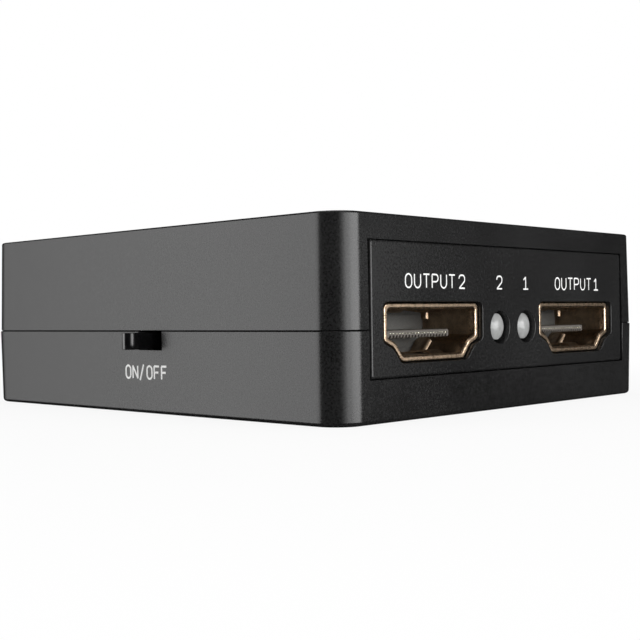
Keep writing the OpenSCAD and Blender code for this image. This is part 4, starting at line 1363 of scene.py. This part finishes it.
class SPLITTER_OT_legends(bpy.types.Operator):
    """Print the plain legends of the sockets, lamps, switch and power inlet"""

    bl_idname = "splitter.legends"
    bl_label = "Legends"

    def execute(self, context):
        case, parts = context.scene.splitter_case, context.scene.splitter_parts
        front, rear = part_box("output_panel")[0].y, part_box("input_panel")[1].y
        line = BOARD_HIGH.z + parts.legend_rise
        pitch, half_word = parts.letter_pitch, parts.word_half
        size = parts.letter_height, parts.letter_width, parts.stroke
        switch_size = parts.switch_letter_height, parts.switch_letter_width, parts.switch_stroke
        lamp_x = middle("lamp_1", X)
        digit = lamp_x - parts.letter_width / 2 - parts.stroke / 2
        front_words = (
            ("OUTPUT 2", (-SOCKET_X - half_word, front, line), pitch),
            ("2", (digit - 2 * lamp_x, front, line), pitch),
            ("1", (digit, front, line), pitch),
            ("OUTPUT 1", (SOCKET_X - half_word, front, line), pitch),
        )
        right, above, back = Vector((1, 0, 0)), Vector((0, 0, 1)), Vector((0, 1, 0))
        words = legend("output_legend", parts, size, front_words, right, above, -back)
        finished(words, "case", "legend_ink")
        rear_words = (
            ("INPUT", (middle("input_shell", X) + INPUT_HALF * pitch, rear, line), pitch),
            ("DC 5V", (middle("inlet_housing", X) + INLET_HALF * pitch, rear, line), pitch),
        )
        words = legend("input_legend", parts, size, rear_words, -right, above, back)
        finished(words, "case", "legend_ink")
        slope = atan2(case.lower_lean, case.seam_height)
        start_z = parts.switch_legend_rise
        wall_x = CASE_LOW.x + case.lower_lean * (1 - start_z / case.seam_height)
        start = (wall_x, parts.switch_legend_start - parts.switch_stroke / 2, start_z)
        side_words = (("ON/OFF", start, parts.switch_letter_pitch),)
        up, out = Vector((-sin(slope), 0, cos(slope))), Vector((-cos(slope), 0, -sin(slope)))
        words = legend("switch_legend", parts, switch_size, side_words, -back, up, out)
        finished(words, "case", "legend_ink")
        return {"FINISHED"}


INNER_NODES = {
    "board_laminate": ("circuit_board",),
    "contact_gold": (
        "output_1_contacts", "output_2_contacts", "input_contacts", "switch_contacts", "switch_clip"
    ),
    "plain_steel": ("lamp_leads", "inlet_spring", "chip_leads", "clock_crystal"),
    # Painted shade: the switch frame, a steel part, takes the dark chip plastic where it shows through the
    # lever window
    "chip_plastic": (
        "switch_frame", "switch_base", "splitter_chip", "memory_chips", "voltage_regulators", "surge_arrays"
    ),
    "ferrite": ("power_inductor",),
    "can_aluminium": ("bulk_capacitors",),
    "ceramic": ("chip_capacitors",),
    "resistor_film": ("chip_resistors",),
}


class SPLITTER_OT_inner_parts(bpy.types.Operator):
    """Give the board and the pieces inside the case their finishes"""

    bl_idname = "splitter.inner_parts"
    bl_label = "Inner parts"

    def execute(self, context):
        for finish, nodes in INNER_NODES.items():
            for node in nodes:
                materials = frame["nodes"][node].data.materials
                materials.clear()
                materials.append(finish_named(finish))
        return {"FINISHED"}


class SPLITTER_OT_stage(bpy.types.Operator):
    """Set the camera, the floor, the lights and the white surroundings"""

    bl_idname = "splitter.stage"
    bl_label = "Stage"

    def execute(self, context):
        stage = context.scene.splitter_stage
        context.scene.view_settings.view_transform = "Standard"
        set_camera(context, stage)
        set_world(context, stage)
        set_floor()
        set_lights()
        return {"FINISHED"}


def set_camera(context, stage):
    heading, tilt, roll = stage.camera_turn
    bpy.ops.object.camera_add(location=stage.camera_place)
    camera = context.object
    forward = Vector((sin(heading) * cos(tilt), cos(heading) * cos(tilt), sin(tilt)))
    right = forward.cross(Vector((0, 0, 1))).normalized()
    down = forward.cross(right)
    side = cos(roll) * right + sin(roll) * down
    up = sin(roll) * right - cos(roll) * down
    camera.rotation_euler = Matrix((side, up, -forward)).transposed().to_euler()
    camera.data.lens = stage.lens
    camera.data.clip_start = 1 * MM
    context.scene.camera = camera


def ray(tree, kind):
    """1 for rays of one kind, 0 for others."""
    return tree.node("ShaderNodeLightPath", output=f"Is {kind} Ray")


def set_world(context, stage):
    """White behind the object, to the camera and in reflections, and a dim room on the camera's side."""
    world = bpy.data.worlds.new("surroundings")
    tree = empty_tree(world)
    way = tree.node("ShaderNodeTexCoord", output="Generated")
    heading = stage.camera_turn[0]
    away = (sin(heading), cos(heading), 0)
    ahead = tree.node("ShaderNodeVectorMath", {"operation": "DOT_PRODUCT"}, {0: way, 1: away}, "Value")
    mirrored = ray(tree, "Glossy") | ray(tree, "Transmission")
    seen = ray(tree, "Camera") | mirrored * ahead.step(*BACKDROP_EDGE)
    strength = seen | (1 - mirrored) * stage.fill
    white = tree.node("ShaderNodeBackground", None, {"Color": (1, 1, 1, 1), "Strength": strength})
    tree.node("ShaderNodeOutputWorld", None, {"Surface": white})
    context.scene.world = world


def set_floor():
    """White paper that keeps the object's shadow, fades into the surroundings and is clear from below."""
    bpy.ops.mesh.primitive_plane_add(size=FLOOR_SIZE, location=(0, 0, CASE_LOW.z - FLOOR_GAP))
    floor = settled("floor")
    material = bpy.data.materials.new("floor_paper")
    tree = empty_tree(material)
    place = tree.node("ShaderNodeTexCoord", output="Object")
    distance = tree.node("ShaderNodeVectorMath", {"operation": "LENGTH"}, {0: place}, "Value")
    glow = ray(tree, "Camera") * (PAPER_GLOW + (1 - PAPER_GLOW) * distance.step(*PAPER_FADE))
    paper = tree.node("ShaderNodeBsdfDiffuse", None, {"Color": (PAPER, PAPER, PAPER, 1)})
    white = tree.node("ShaderNodeEmission", None, {"Color": (1, 1, 1, 1), "Strength": 1.0})
    mixed = tree.node("ShaderNodeMixShader", None, {0: glow, 1: paper, 2: white})
    below = tree.node("ShaderNodeNewGeometry", output="Backfacing")
    clear = tree.node("ShaderNodeBsdfTransparent")
    sheet = tree.node("ShaderNodeMixShader", None, {0: below, 1: mixed, 2: clear})
    tree.node("ShaderNodeOutputMaterial", None, {"Surface": sheet})
    floor.data.materials.append(material)
    floor.visible_glossy = False


def set_lights():
    """Strips of light at the left and in front that grow brighter in steps, and a soft box above."""
    # Name, compass angles of both ends in degrees, height in metres, radiance
    strips = (
        ("back_left", 106, 122, SIDE_HEIGHT, 1.1),
        ("middle_left", 122, 130, SIDE_HEIGHT, 2.5),
        ("near_left", 130, 158, SIDE_HEIGHT, 3.75),
        ("edge_front", 235, 241, FRONT_HEIGHT, 0.8),
        ("soft_front", 241, 246, FRONT_HEIGHT, 1.7),
        ("left_front", 246, 252, FRONT_HEIGHT, 2.7),
        ("middle_front", 252, 270, FRONT_HEIGHT, 5.2),
        ("right_front", 270, 306, FRONT_HEIGHT, 7.2),
    )
    for name, start, end, height, radiance in strips:
        heading, half = radians(start + end) / 2, radians(end - start) / 2
        place = LIGHT_DISTANCE * Vector((cos(heading), sin(heading), LIGHT_RISE))
        soft_box(name, place, 2 * LIGHT_DISTANCE * tan(half), height, radiance)
    above = Vector((OVERHEAD_SHIFT, OVERHEAD_SHIFT, LIGHT_DISTANCE))
    soft_box("overhead", above, OVERHEAD_SIZE, OVERHEAD_SIZE, OVERHEAD_RADIANCE)


def soft_box(name, place, width, height, radiance):
    """An even rectangular light that faces the object and that the camera doesn't see."""
    bpy.ops.object.light_add(type="AREA", location=place)
    light = bpy.context.object
    light.name = f"{name}_softbox"
    light.visible_camera = False
    light.data.shape = "RECTANGLE"
    light.data.size = width
    light.data.size_y = height
    light.data.energy = radiance * pi * width * height
    light.rotation_euler = (-place).to_track_quat("-Z", "Y").to_euler()


OPERATORS = (
    SPLITTER_OT_stage,
    SPLITTER_OT_upper_shell,
    SPLITTER_OT_lower_shell,
    SPLITTER_OT_panels,
    SPLITTER_OT_socket_shells,
    SPLITTER_OT_socket_insulators,
    SPLITTER_OT_contact_tips,
    SPLITTER_OT_lamps,
    SPLITTER_OT_switch_lever,
    SPLITTER_OT_power_inlet,
    SPLITTER_OT_case_screws,
    SPLITTER_OT_legends,
    SPLITTER_OT_inner_parts,
)


class SPLITTER_PT_panel(bpy.types.Panel):
    """Lists the steps that model the splitter"""

    bl_label = "Splitter"
    bl_idname = "SPLITTER_PT_panel"
    bl_space_type = "VIEW_3D"
    bl_region_type = "UI"
    bl_category = "Splitter"

    def draw(self, context):
        for operator in OPERATORS:
            self.layout.operator(operator.bl_idname)


GROUPS = {
    "splitter_case": SplitterCase,
    "splitter_parts": SplitterParts,
    "splitter_colours": SplitterColours,
    "splitter_stage": SplitterStage,
}
CLASSES = (*GROUPS.values(), *OPERATORS, SPLITTER_PT_panel)


def register():
    for item in CLASSES:
        bpy.utils.register_class(item)
    for name, group in GROUPS.items():
        setattr(bpy.types.Scene, name, bpy.props.PointerProperty(type=group))


def unregister():
    for name in GROUPS:
        delattr(bpy.types.Scene, name)
    for item in reversed(CLASSES):
        bpy.utils.unregister_class(item)


def main():
    register()
    for operator in OPERATORS:
        getattr(bpy.ops.splitter, operator.bl_idname.split(".")[1])()


if __name__ == "__main__":
    main()
